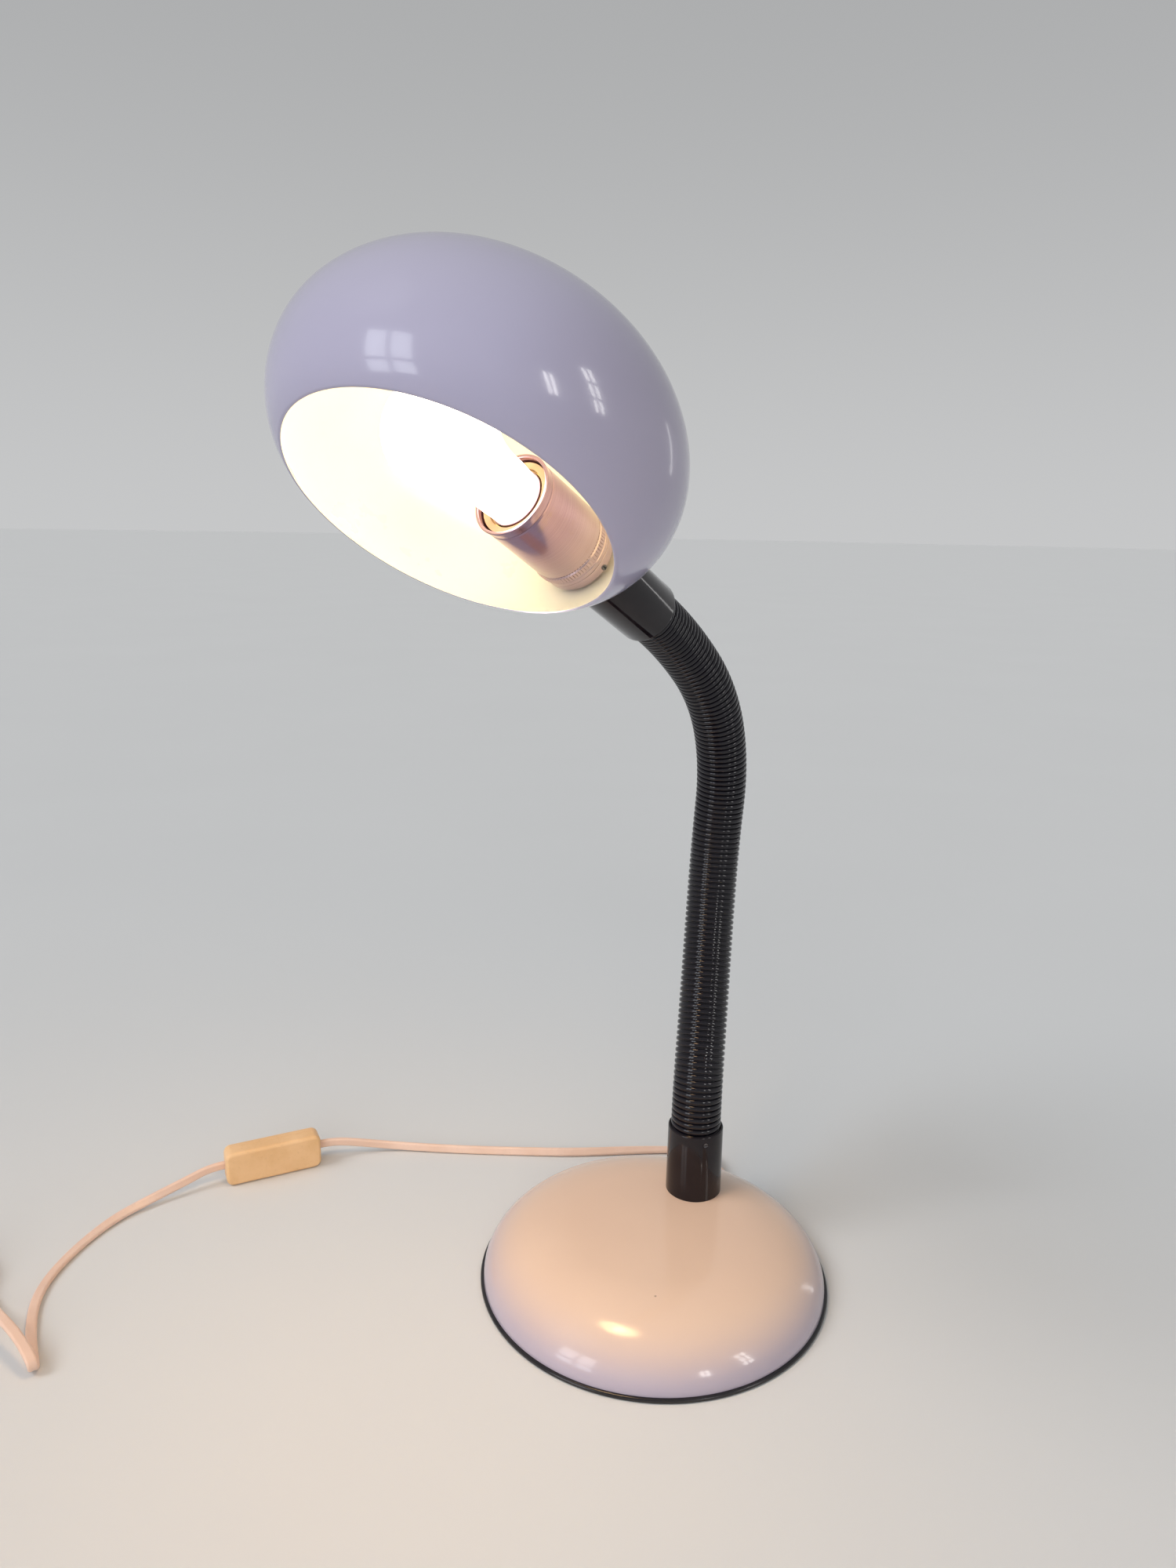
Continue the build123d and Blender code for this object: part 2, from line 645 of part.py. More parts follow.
CAP_SLOPE = 4.0
CAP_SHEET = 1.1
CAP_FLOOR = 1.6
CAP_SPIGOT = 7.0
CAP_BORE = HOLDER_RADIUS - 2 * CAP_SHEET
with BuildPart() as holder_cap:
    with BuildSketch(head_profile()):
        with BuildLine():
            Polyline(
                (STEM_RADIUS, CAP_BACK),
                (HOLDER_RADIUS - CAP_SLOPE, CAP_BACK),
                (HOLDER_RADIUS, CAP_BACK + CAP_SLOPE),
                (HOLDER_RADIUS, CAP_FRONT),
                (HOLDER_RADIUS - CAP_SHEET, CAP_FRONT),
                (HOLDER_RADIUS - CAP_SHEET, CAP_FRONT + CAP_SPIGOT),
                (CAP_BORE, CAP_FRONT + CAP_SPIGOT),
                (CAP_BORE, CAP_BACK + CAP_SLOPE + 0.6),
                (CAP_BORE - 2.8, CAP_BACK + CAP_FLOOR),
                (STEM_RADIUS, CAP_BACK + CAP_FLOOR),
                close=True,
            )
        make_face()
    revolve(axis=HEAD_AXIS)
keep(holder_cap.part, "holder_cap")

STEM_NUT_HEIGHT = 4.0
with BuildPart() as stem_nut:
    with BuildSketch(head_plane(CAP_BACK + CAP_FLOOR)):
        RegularPolygon(radius=NUT_RADIUS, side_count=6)
        Circle(STEM_RADIUS, mode=Mode.SUBTRACT)
    extrude(amount=STEM_NUT_HEIGHT)
keep(stem_nut.part, "stem_nut")

KNURL_BACK = CAP_FRONT + 3
KNURL_FRONT = CAP_FRONT + 7
KNURL_RADIUS = HOLDER_RADIUS + 0.35
KNURL_EDGE = 0.4
MANTLE_BORE = HOLDER_RADIUS - 1.05
MANTLE_BACK = CAP_FRONT + 0.1
LIP_START = HOLDER_RIM - 1.8
LIP_BEVEL = 0.4
with BuildPart() as holder_mantle:
    with BuildSketch(head_profile()):
        with BuildLine():
            Polyline(
                (MANTLE_BORE, MANTLE_BACK),
                (HOLDER_RADIUS, MANTLE_BACK),
                (HOLDER_RADIUS, KNURL_BACK),
                (KNURL_RADIUS, KNURL_BACK + KNURL_EDGE),
                (KNURL_RADIUS, KNURL_FRONT - KNURL_EDGE),
                (HOLDER_RADIUS, KNURL_FRONT),
                (HOLDER_RADIUS, LIP_START),
                (LIP_RADIUS, LIP_START + LIP_BEVEL),
                (LIP_RADIUS, HOLDER_RIM - LIP_BEVEL),
                (LIP_RADIUS - LIP_BEVEL, HOLDER_RIM),
                (MANTLE_BORE, HOLDER_RIM),
                close=True,
            )
        make_face()
    revolve(axis=HEAD_AXIS)
keep(holder_mantle.part, "holder_mantle")

INSERT_BACK = 79.0
INSERT_FLOOR = 90.0
INSERT_RADIUS = HOLDER_RADIUS - 1.8
INSERT_FRONT = HOLDER_RIM - 3
SHELL_BORE = BULB_CAP_RADIUS + 0.35
SHELL_WALL = 0.5
SHELL_OUTSIDE = SHELL_BORE + SHELL_WALL
SHELL_FLANGE = SHELL_BORE - 3
SHELL_FRONT = HOLDER_RIM - 4.5
HOLDER_SCREWS = ((-10, 0), (10, 0))
HOLDER_SCREW_RADIUS = 1.6
HOLDER_SCREW_REACH = 8.0
HOLDER_HEAD_RADIUS = 2.8
HOLDER_HEAD_HEIGHT = 2.2
with BuildPart() as holder_insert:
    with BuildSketch(head_profile()):
        with BuildLine():
            Polyline(
                (0, INSERT_BACK),
                (INSERT_RADIUS, INSERT_BACK),
                (INSERT_RADIUS, INSERT_FRONT),
                (SHELL_OUTSIDE, INSERT_FRONT),
                (SHELL_OUTSIDE, INSERT_FLOOR),
                (0, INSERT_FLOOR),
                close=True,
            )
        make_face()
    revolve(axis=HEAD_AXIS)
    with BuildSketch(head_plane(INSERT_BACK)):
        Circle(FLEX_RADIUS + HOLE_PLAY)
        with Locations(*HOLDER_SCREWS):
            Circle(HOLDER_SCREW_RADIUS)
    extrude(amount=INSERT_FLOOR, mode=Mode.SUBTRACT)
keep(holder_insert.part, "holder_insert")

with BuildPart() as screw_shell:
    with BuildSketch(head_profile()):
        with BuildLine():
            Polyline(
                (SHELL_FLANGE, INSERT_FLOOR),
                (SHELL_OUTSIDE, INSERT_FLOOR),
                (SHELL_OUTSIDE, SHELL_FRONT),
                (SHELL_BORE, SHELL_FRONT),
                (SHELL_BORE, INSERT_FLOOR + SHELL_WALL),
                (SHELL_FLANGE, INSERT_FLOOR + SHELL_WALL),
                close=True,
            )
        make_face()
    revolve(axis=HEAD_AXIS)
keep(screw_shell.part, "screw_shell")

CONTACT_TIP = 93.3
CONTACT_SHEET = 0.6
with BuildPart() as centre_contact:
    with BuildSketch(head_plane(INSERT_FLOOR)):
        RectangleRounded(5, 15, 1)
    extrude(amount=CONTACT_SHEET)
    with BuildSketch(head_plane(INSERT_FLOOR + CONTACT_SHEET)):
        Circle(3)
    extrude(amount=CONTACT_TIP - INSERT_FLOOR - CONTACT_SHEET, taper=15)
keep(centre_contact.part, "centre_contact")

with BuildPart() as holder_screws:
    with BuildSketch(head_plane(INSERT_BACK - HOLDER_HEAD_HEIGHT)):
        with Locations(*HOLDER_SCREWS):
            Circle(HOLDER_HEAD_RADIUS)
            SlotOverall(SLOT_LENGTH, SLOT_WIDTH, mode=Mode.SUBTRACT)
    extrude(amount=HOLDER_HEAD_HEIGHT)
    with BuildSketch(head_plane(INSERT_BACK)):
        with Locations(*HOLDER_SCREWS):
            Circle(HOLDER_SCREW_RADIUS)
    extrude(amount=HOLDER_SCREW_REACH)
keep(holder_screws.part, "holder_screws")

# ---------------------------------------------------------------- bulb

GLASS_START = 114.5
GLASS_WALL = 0.9
GLASS_NECK_RADIUS = BULB_CAP_RADIUS - 0.6
GLASS_RISE = 2.0
GLASS_WAIST = 128.0
GLASS_BELLY_ANGLE = 33.0


def glass_outline(inset):
    """Half outline of the bulb from its neck to its tip, set in by the glass."""
    neck = GLASS_NECK_RADIUS - inset
    bottom = GLASS_START + inset
    rise = GLASS_START + GLASS_RISE
    widest = BULB_RADIUS - inset
    across = cos(radians(GLASS_BELLY_ANGLE))
    down = sin(radians(GLASS_BELLY_ANGLE))
    belly = (widest * across, BULB_CENTRE - widest * down)
    waist = (neck + 0.5, GLASS_WAIST)
    leaving = (waist[0], GLASS_WAIST + 8)
    arriving = (belly[0] - 9 * down, belly[1] - 9 * across)
    Polyline((0, BULB_CENTRE + widest), (0, bottom), (neck, bottom), (neck, rise))
    Bezier((neck, rise), (neck, rise + 4), (waist[0], GLASS_WAIST - 6), waist)
    Bezier(waist, leaving, arriving, belly)
    CenterArc((0, BULB_CENTRE), widest, -GLASS_BELLY_ANGLE, 90 + GLASS_BELLY_ANGLE)


with BuildPart() as bulb_glass:
    with BuildSketch(head_profile()):
        with BuildLine():
            glass_outline(0)
        make_face()
    revolve(axis=HEAD_AXIS)
    with BuildSketch(head_profile()):
        with BuildLine():
            glass_outline(GLASS_WALL)
        make_face()
    revolve(axis=HEAD_AXIS, mode=Mode.SUBTRACT)
keep(bulb_glass.part, "bulb_glass")

CAP_START = 97.5
CAP_HOLLOW_RADIUS = 6.0
CAP_CHAMFER = 2.0
with BuildPart() as bulb_cap:
    with BuildSketch(head_profile()):
        with BuildLine():
            Polyline(
                (CAP_HOLLOW_RADIUS, CAP_START),
                (BULB_CAP_RADIUS - CAP_CHAMFER, CAP_START),
                (BULB_CAP_RADIUS, CAP_START + CAP_CHAMFER),
                (BULB_CAP_RADIUS, GLASS_START + 1),
                (GLASS_NECK_RADIUS, GLASS_START + 1),
                (GLASS_NECK_RADIUS, GLASS_START),
                (CAP_HOLLOW_RADIUS, GLASS_START),
                close=True,
            )
        make_face()
    revolve(axis=HEAD_AXIS)
keep(bulb_cap.part, "bulb_cap")

CONTACT_CONE = 2.6
CONTACT_BUTTON = 1.2
with BuildPart() as bulb_contact:
    with BuildSketch(head_plane(CAP_START)):
        Circle(CAP_HOLLOW_RADIUS + 2)
    extrude(amount=-CONTACT_CONE, taper=30)
    with BuildSketch(head_plane(CAP_START)):
        Circle(CAP_HOLLOW_RADIUS - 0.1)
    extrude(amount=4)
    with BuildSketch(head_plane(CAP_START - CONTACT_CONE)):
        Circle(4)
    extrude(amount=-CONTACT_BUTTON, taper=25)
keep(bulb_contact.part, "bulb_contact")

# ---------------------------------------------------------------- cord on the table

CORD_FIT = 0.45


def corner_radii(points):
    """A radius for each corner of a route, as large as the shorter run beside the corner allows."""
    radii = []
    for before, corner, after in zip(points, points[1:], points[2:]):
        arriving = Vector(corner) - Vector(before)
        leaving = Vector(after) - Vector(corner)
        shorter = min(arriving.length, leaving.length)
        radii.append(CORD_FIT * shorter / tan(radians(arriving.get_angle(leaving)) / 2))
    return radii


def lay_cord(points, name):
    """Make one free stretch of the cord as a round tube along its route."""
    radii = corner_radii(points)
    with BuildPart() as lead:
        with BuildLine() as route:
            FilletPolyline(*points, radius=radii)
        with BuildSketch(Plane(points[0], z_dir=Vector(points[1]) - Vector(points[0]))):
            Circle(CORD_RADIUS)
        sweep()
    length = sum(edge.length for edge in route.edges())
    print(f"{name}: length {length:.1f}, section x length {length * pi * CORD_RADIUS**2:.0f}")
    print(f"  volume {lead.part.volume:.0f}, radii", [round(radius, 1) for radius in radii])
    keep(lead.part, name)


switch_dir = heading(SWITCH_HEADING)
switch_near_end = Vector(SWITCH_CENTRE) + switch_dir * (SWITCH_LENGTH / 2)
switch_far_end = Vector(SWITCH_CENTRE) - switch_dir * (SWITCH_LENGTH / 2)
bush_outer_end = exit_point + heading(EXIT_HEADING) * BUSH_LENGTH
coil_centre = Vector(*COIL_CENTRE, 0)
coil_entry = coil_centre + heading(COIL_HEADING - 90) * COIL_RADIUS + Vector(0, 0, CORD_RADIUS)
coil_exit = coil_centre - heading(COIL_HEADING - 90) * COIL_RADIUS + Vector(0, 0, PLUG_HEIGHT)
stub_end = coil_entry - heading(COIL_HEADING) * COIL_STUB

TABLE = CORD_RADIUS
SWITCH_LEAD = 9.0
lay_cord(
    (
        bush_outer_end,
        (-26.4, 118.4, 6.2),
        (-45.0, 113.0, 2.4),
        (-69.1, 95.0, TABLE),
        (-100.0, 67.5, TABLE),
        (-133.0, 45.4, TABLE),
        (-166.0, 24.0, TABLE),
        (-201.0, 3.0, 2.6),
        (-217.1, -14.3, 8.6),
        switch_near_end + switch_dir * SWITCH_LEAD,
        switch_near_end,
    ),
    "lead_to_switch",
)
lay_cord(
    (
        switch_far_end,
        switch_far_end - switch_dir * SWITCH_LEAD,
        (-269.2, -103.0, 8.0),
        (-276.0, -126.0, 3.8),
        (-279.0, -150.0, TABLE),
        (-270.5, -181.0, TABLE),
        (-256.0, -206.5, TABLE),
        (-234.0, -223.5, TABLE),
        (-202.4, -238.8, TABLE),
        (-201.6, -239.6, 9.2),
        (-219.0, -236.6, 12.6),
        (-238.0, -236.0, 15.4),
        (-254.0, -232.6, 9.6),
        (-267.0, -225.72, TABLE),
        stub_end,
    ),
    "lead_to_plug",
)

tail_end = coil_exit - heading(COIL_HEADING) * TAIL_LENGTH
with BuildPart() as cord_coil:
    with BuildSketch(Plane(coil_centre, x_dir=(1, 0, 0), z_dir=(0, -1, 0))):
        with Locations((COIL_RADIUS, COIL_HEIGHT / 2)):
            RectangleRounded(2 * COIL_HALF_WIDTH, COIL_HEIGHT, CORD_RADIUS)
    revolve(axis=Axis(coil_centre, (0, 0, 1)))
    with BuildSketch(Plane(stub_end, z_dir=heading(COIL_HEADING))):
        Circle(CORD_RADIUS)
    extrude(amount=COIL_STUB)
    with BuildSketch(Plane(tail_end, z_dir=heading(COIL_HEADING))):
        Circle(CORD_RADIUS)
    extrude(amount=TAIL_LENGTH)
keep(cord_coil.part, "cord_coil")

# ---------------------------------------------------------------- switch in the cord

# Local x runs along the cord, y down, and z out of the side that carries the rocker.
switch_plane = Plane(SWITCH_CENTRE, x_dir=switch_dir, z_dir=switch_dir.cross(Vector(0, 0, -1)))
SWITCH_WALL = 2.0
SWITCH_CORNER = 3.6
POCKET_LENGTH = SWITCH_LENGTH - 10
POCKET_WIDTH = SWITCH_WIDTH - 2 * SWITCH_WALL
SWITCH_SCREWS = ((-22.5, 0), (22.5, 0))
SWITCH_POSTS = ((-21.0, 0), (21.0, 0))
SWITCH_SCREW_RADIUS = 1.3
SWITCH_SCREW_DEPTH = 4.5
SWITCH_RECESS_RADIUS = 2.6
SWITCH_RECESS_DEPTH = 2.2
BASE_FILLET = 1.8
COVER_FILLET = 2.4
POCKET_CORNER = 1.5
ROCKER_HALF = 7.6
ROCKER_WIDTH = 9.0
ROCKER_GAP = 0.35
ROCKER_PIVOT = 2.0
ROCKER_TILT = 7.0
PIVOT_RADIUS = 1.0
RIB_REACH = ROCKER_WIDTH / 2 + ROCKER_GAP

with BuildPart() as switch_base:
    with BuildSketch(switch_plane):
        RectangleRounded(SWITCH_LENGTH, SWITCH_WIDTH, SWITCH_CORNER)
    extrude(amount=-SWITCH_BASE_DEPTH)
    blank_side = switch_base.faces().sort_by(Axis(SWITCH_CENTRE, switch_plane.z_dir))[0]
    fillet(blank_side.edges(), BASE_FILLET)
    with BuildSketch(switch_plane):
        RectangleRounded(POCKET_LENGTH, POCKET_WIDTH, POCKET_CORNER)
    extrude(amount=SWITCH_WALL - SWITCH_BASE_DEPTH, mode=Mode.SUBTRACT)
    with BuildSketch(switch_plane.offset(SWITCH_WALL - SWITCH_BASE_DEPTH)):
        with Locations(*SWITCH_POSTS):
            Rectangle(6.5, 6)
    extrude(amount=SWITCH_BASE_DEPTH - SWITCH_WALL)
    with BuildSketch(switch_plane):
        with Locations(*SWITCH_SCREWS):
            Circle(SWITCH_SCREW_RADIUS)
    extrude(amount=-SWITCH_SCREW_DEPTH - 0.5, mode=Mode.SUBTRACT)
keep(switch_base.part, "switch_base")

with BuildPart() as switch_cover:
    with BuildSketch(switch_plane):
        RectangleRounded(SWITCH_LENGTH, SWITCH_WIDTH, SWITCH_CORNER)
    extrude(amount=SWITCH_COVER_DEPTH)
    rocker_side = switch_cover.faces().sort_by(Axis(SWITCH_CENTRE, switch_plane.z_dir))[-1]
    fillet(rocker_side.edges(), COVER_FILLET)
    with BuildSketch(switch_plane):
        RectangleRounded(POCKET_LENGTH - 12, POCKET_WIDTH, POCKET_CORNER)
    extrude(amount=SWITCH_COVER_DEPTH - SWITCH_WALL, mode=Mode.SUBTRACT)
    with BuildSketch(switch_plane):
        Rectangle(2 * ROCKER_HALF + 5 * ROCKER_GAP, 2 * RIB_REACH)
    extrude(amount=SWITCH_COVER_DEPTH, mode=Mode.SUBTRACT)
    with BuildSketch(switch_plane):
        with Locations((0, -RIB_REACH), (0, RIB_REACH)):
            Rectangle(5, 3.2)
        Rectangle(5, 2 * RIB_REACH, mode=Mode.SUBTRACT)
    extrude(amount=SWITCH_COVER_DEPTH - SWITCH_WALL)
    with BuildSketch(Plane(SWITCH_CENTRE + switch_plane.z_dir * ROCKER_PIVOT, z_dir=(0, 0, 1))):
        Circle(PIVOT_RADIUS + 0.3)
    extrude(amount=ROCKER_WIDTH, both=True, mode=Mode.SUBTRACT)
    with BuildSketch(switch_plane):
        with Locations(*SWITCH_SCREWS):
            Circle(SWITCH_SCREW_RADIUS)
    extrude(amount=SWITCH_COVER_DEPTH, mode=Mode.SUBTRACT)
    with BuildSketch(switch_plane.offset(SWITCH_COVER_DEPTH)):
        with Locations(*SWITCH_SCREWS):
            Circle(SWITCH_RECESS_RADIUS)
    extrude(amount=-SWITCH_RECESS_DEPTH, mode=Mode.SUBTRACT)
keep(switch_cover.part, "switch_cover")

with BuildPart() as switch_screws:
    with BuildSketch(switch_plane.offset(-SWITCH_SCREW_DEPTH)):
        with Locations(*SWITCH_SCREWS):
            Circle(SWITCH_SCREW_RADIUS)
    extrude(amount=SWITCH_SCREW_DEPTH + SWITCH_COVER_DEPTH - SWITCH_RECESS_DEPTH)
    with BuildSketch(switch_plane.offset(SWITCH_COVER_DEPTH - SWITCH_RECESS_DEPTH)):
        with Locations(*SWITCH_SCREWS):
            Circle(SWITCH_RECESS_RADIUS - 0.1)
            SlotOverall(4.0, 0.7, mode=Mode.SUBTRACT)
    extrude(amount=1.4)
keep(switch_screws.part, "switch_screws")

with BuildPart() as switch_contacts:
    with BuildSketch(switch_plane.offset(SWITCH_WALL - SWITCH_BASE_DEPTH)):
        with Locations((-12, -4), (12, -4), (12, 4), (-12, 4)):
            Rectangle(9, 5)
    extrude(amount=3.5)
    with BuildSketch(switch_plane.offset(SWITCH_WALL - SWITCH_BASE_DEPTH)):
        with Locations((0, 4)):
            Rectangle(16, 3)
    extrude(amount=0.8)
keep(switch_contacts.part, "switch_contacts")

# The rocker is drawn level and then tipped to its "on" side about its own pin.
pivot_line = Axis(SWITCH_CENTRE + switch_plane.z_dir * ROCKER_PIVOT, (0, 0, 1))
rocker_plane = Plane(pivot_line.position, x_dir=switch_dir, z_dir=(0, 0, 1)).rotated((0, 0, ROCKER_TILT))
with BuildPart() as switch_rocker:
    with BuildSketch(rocker_plane):
        with BuildLine():
            Polyline((-6.2, 0.6), (-ROCKER_HALF, 1.2), (-ROCKER_HALF, 4.8))
            ThreePointArc((-ROCKER_HALF, 4.8), (0, 4.1), (ROCKER_HALF, 4.8))
            Polyline((ROCKER_HALF, 4.8), (ROCKER_HALF, 1.2), (6.2, 0.6), (2.2, -1.4))
            Polyline((2.2, -1.4), (-2.2, -1.4), (-6.2, 0.6))
        make_face()
    extrude(amount=ROCKER_WIDTH / 2, both=True)
    with BuildSketch(rocker_plane):
        Circle(PIVOT_RADIUS)
    extrude(amount=ROCKER_WIDTH / 2 + 1.6, both=True)
keep(switch_rocker.part, "switch_rocker")

# ---------------------------------------------------------------- plug

PLUG_RELIEF = 11.0
PLUG_WIDTH = 35.0
PLUG_THICKNESS = 14.0
SLEEVE_LENGTH = 10.0
SLEEVE_WALL = 0.5
plug_dir = heading(COIL_HEADING + 180)
plug_top = Plane(tail_end, x_dir=plug_dir, z_dir=(0, 0, 1))
plug_side = Plane(tail_end, x_dir=plug_dir, z_dir=plug_dir.cross(Vector(0, 0, 1)))
plug_face = Plane(tail_end + plug_dir * PLUG_BODY_LENGTH, x_dir=(0, 0, 1), z_dir=plug_dir)
PLUG_HALF = PLUG_WIDTH / 2
PLUG_FLAT = PLUG_THICKNESS / 2

with BuildPart() as plug_body:
    with BuildSketch(plug_top):
        with BuildLine() as plug_plan:
            Line((PLUG_RELIEF - 3, 0), (PLUG_RELIEF - 3, 4.6))
            Bezier((PLUG_RELIEF - 3, 4.6), (PLUG_RELIEF + 7, 5.4), (22, PLUG_HALF - 2), (31, PLUG_HALF))
            Polyline((31, PLUG_HALF), (PLUG_BODY_LENGTH, PLUG_HALF), (PLUG_BODY_LENGTH, 0))
            mirror(about=Plane.XZ)
        make_face()
    extrude(amount=PLUG_FLAT, both=True)
    with BuildSketch(plug_side):
        with BuildLine():
            Line((PLUG_RELIEF - 3, 0), (PLUG_RELIEF - 3, 3.8))
            Bezier((PLUG_RELIEF - 3, 3.8), (PLUG_RELIEF + 5, 4), (19, PLUG_FLAT), (28, PLUG_FLAT))
            Polyline((28, PLUG_FLAT), (PLUG_BODY_LENGTH, PLUG_FLAT), (PLUG_BODY_LENGTH, 0))
            mirror(about=Plane.XZ)
        make_face()
    extrude(amount=PLUG_WIDTH, both=True, mode=Mode.INTERSECT)
    with BuildSketch(plug_top):
        with BuildLine():
            Polyline(
                (0, 0),
                (0, CORD_RADIUS + 0.7),
                (3, CORD_RADIUS + 0.9),
                (3, CORD_RADIUS + 0.3),
                (4, CORD_RADIUS + 0.3),
                (4, CORD_RADIUS + 1.1),
                (7, CORD_RADIUS + 1.3),
                (7, CORD_RADIUS + 0.3),
                (PLUG_RELIEF - 2, CORD_RADIUS + 0.3),
                (PLUG_RELIEF - 2, 0),
                close=True,
            )
        make_face()
    revolve(axis=Axis(tail_end, plug_dir))
    with BuildSketch(plug_face):
        with Locations((0, -PIN_SPACING / 2), (0, PIN_SPACING / 2)):
            Circle(PIN_RADIUS - 0.05)
    extrude(amount=SLEEVE_LENGTH)
    with BuildSketch(plug_face.offset(SLEEVE_LENGTH)):
        with Locations((0, -PIN_SPACING / 2), (0, PIN_SPACING / 2)):
            Circle(PIN_RADIUS - SLEEVE_WALL)
    extrude(amount=-SLEEVE_LENGTH - 6, mode=Mode.SUBTRACT)
keep(plug_body.part, "plug_body")

with BuildPart() as plug_pins:
    with BuildSketch(plug_face.offset(-6)):
        with Locations((0, -PIN_SPACING / 2), (0, PIN_SPACING / 2)):
            Circle(PIN_RADIUS - SLEEVE_WALL)
    extrude(amount=6 + SLEEVE_LENGTH)
    with BuildSketch(plug_face.offset(SLEEVE_LENGTH)):
        with Locations((0, -PIN_SPACING / 2), (0, PIN_SPACING / 2)):
            Circle(PIN_RADIUS)
    extrude(amount=PIN_LENGTH - SLEEVE_LENGTH)
    fillet(plug_pins.faces().sort_by(Axis(tail_end, plug_dir))[-2:].edges(), 1.2)
keep(plug_pins.part, "plug_pins")
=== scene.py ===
from math import atan2, cos, hypot, pi, radians, sin

import bmesh
import bpy
from mathutils import Matrix, Quaternion, Vector
from mathutils.bvhtree import BVHTree
from mathutils.geometry import interpolate_bezier


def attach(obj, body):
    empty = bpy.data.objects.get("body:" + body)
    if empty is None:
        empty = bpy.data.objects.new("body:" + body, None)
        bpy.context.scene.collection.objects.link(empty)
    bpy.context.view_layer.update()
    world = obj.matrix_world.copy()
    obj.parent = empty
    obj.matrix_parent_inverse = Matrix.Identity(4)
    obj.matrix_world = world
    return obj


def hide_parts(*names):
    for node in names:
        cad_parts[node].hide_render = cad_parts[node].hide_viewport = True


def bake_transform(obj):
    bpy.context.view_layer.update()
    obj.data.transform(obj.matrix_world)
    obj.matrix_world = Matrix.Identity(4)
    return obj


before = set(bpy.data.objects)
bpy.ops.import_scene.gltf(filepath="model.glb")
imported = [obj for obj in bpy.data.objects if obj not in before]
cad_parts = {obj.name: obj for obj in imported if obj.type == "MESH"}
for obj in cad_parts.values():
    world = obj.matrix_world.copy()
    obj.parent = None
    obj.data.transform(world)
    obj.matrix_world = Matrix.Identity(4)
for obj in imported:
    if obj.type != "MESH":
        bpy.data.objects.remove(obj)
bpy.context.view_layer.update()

# Pieces are drawn in millimetres, each in its own frame, and scaled to metres as they are placed.
# The camera, the lights, the cords and the patterns of the finishes are in metres.
MM = 0.001
TO_METRES = Matrix.Scale(MM, 4)
scene = bpy.context.scene


def added(name, data):
    """An object of the scene that holds a mesh, a curve, a lamp or the camera."""
    item = bpy.data.objects.new(name, data)
    scene.collection.objects.link(item)
    return item


def rotated(degrees, axis):
    """A turn about one axis."""
    return Matrix.Rotation(radians(degrees), 4, axis)


def heading(degrees):
    """The level direction at an angle from +X."""
    return Vector((cos(radians(degrees)), sin(radians(degrees)), 0.0))


# ---------- camera

CAMERA_PLACE = (0.264251, -0.461309, 0.403698)
CAMERA_PAN = 34.1998
CAMERA_DIP = 13.4249
CAMERA_ROLL = 1.041

camera_data = bpy.data.cameras.new("camera")
camera_data.sensor_width = 36.0
camera_data.lens = 25.2
camera = added("camera", camera_data)
pan = rotated(CAMERA_PAN, "Z")
pitch = rotated(90 - CAMERA_DIP, "X")
camera.matrix_world = Matrix.Translation(CAMERA_PLACE) @ pan @ pitch @ rotated(CAMERA_ROLL, "Z")
scene.camera = camera

# ---------- finishes


class Signal:
    """The output of a shader node, which takes part in sums like a number."""

    def __init__(self, finish, socket):
        self.finish = finish
        self.socket = socket

    def worked(self, operation, *values):
        sockets = dict(enumerate(values))
        return self.finish.node("ShaderNodeMath", {"operation": operation}, sockets)

    def __add__(self, other):
        return self.worked("ADD", self, other)

    __radd__ = __add__

    def __mul__(self, other):
        return self.worked("MULTIPLY", self, other)

    __rmul__ = __mul__

    def __sub__(self, other):
        return self.worked("SUBTRACT", self, other)

    def __rsub__(self, other):
        return self.worked("SUBTRACT", other, self)

    def step(self, low, high):
        """0 below low, 1 above high and smooth between them."""
        sockets = {"Value": self, "From Min": low, "From Max": high}
        settings = {"interpolation_type": "SMOOTHSTEP"}
        return self.finish.node("ShaderNodeMapRange", settings, sockets)


class Shading:
    """The nodes of a material or of the air around, with one method that adds each of them."""

    def __init__(self, owner):
        owner.use_nodes = True
        self.nodes = owner.node_tree.nodes
        self.links = owner.node_tree.links

    def feed(self, socket, value):
        """Join a signal to a socket, or set the socket to a number or a colour."""
        if isinstance(value, Signal):
            self.links.new(value.socket, socket)
        elif socket.type == "RGBA":
            socket.default_value = (*value, 1.0)
        else:
            socket.default_value = value

    def node(self, kind, settings=None, sockets=None, output=0):
        """Add a node, with its settings first and then the values or links of its sockets."""
        made = self.nodes.new(kind)
        for setting, value in (settings or {}).items():
            setattr(made, setting, value)
        for socket, value in (sockets or {}).items():
            self.feed(made.inputs[socket], value)
        return Signal(self, made.outputs[output])

    def split(self, vector):
        """The x, y and z of a vector."""
        parts = {"Vector": vector}
        return [self.node("ShaderNodeSeparateXYZ", sockets=parts, output=axis) for axis in "XYZ"]

    def mixed(self, share, first, second):
        """One colour turning to another as the share goes from 0 to 1."""
        sockets = {"Factor": share, 6: first, 7: second}
        return self.node("ShaderNodeMix", {"data_type": "RGBA"}, sockets, 2)


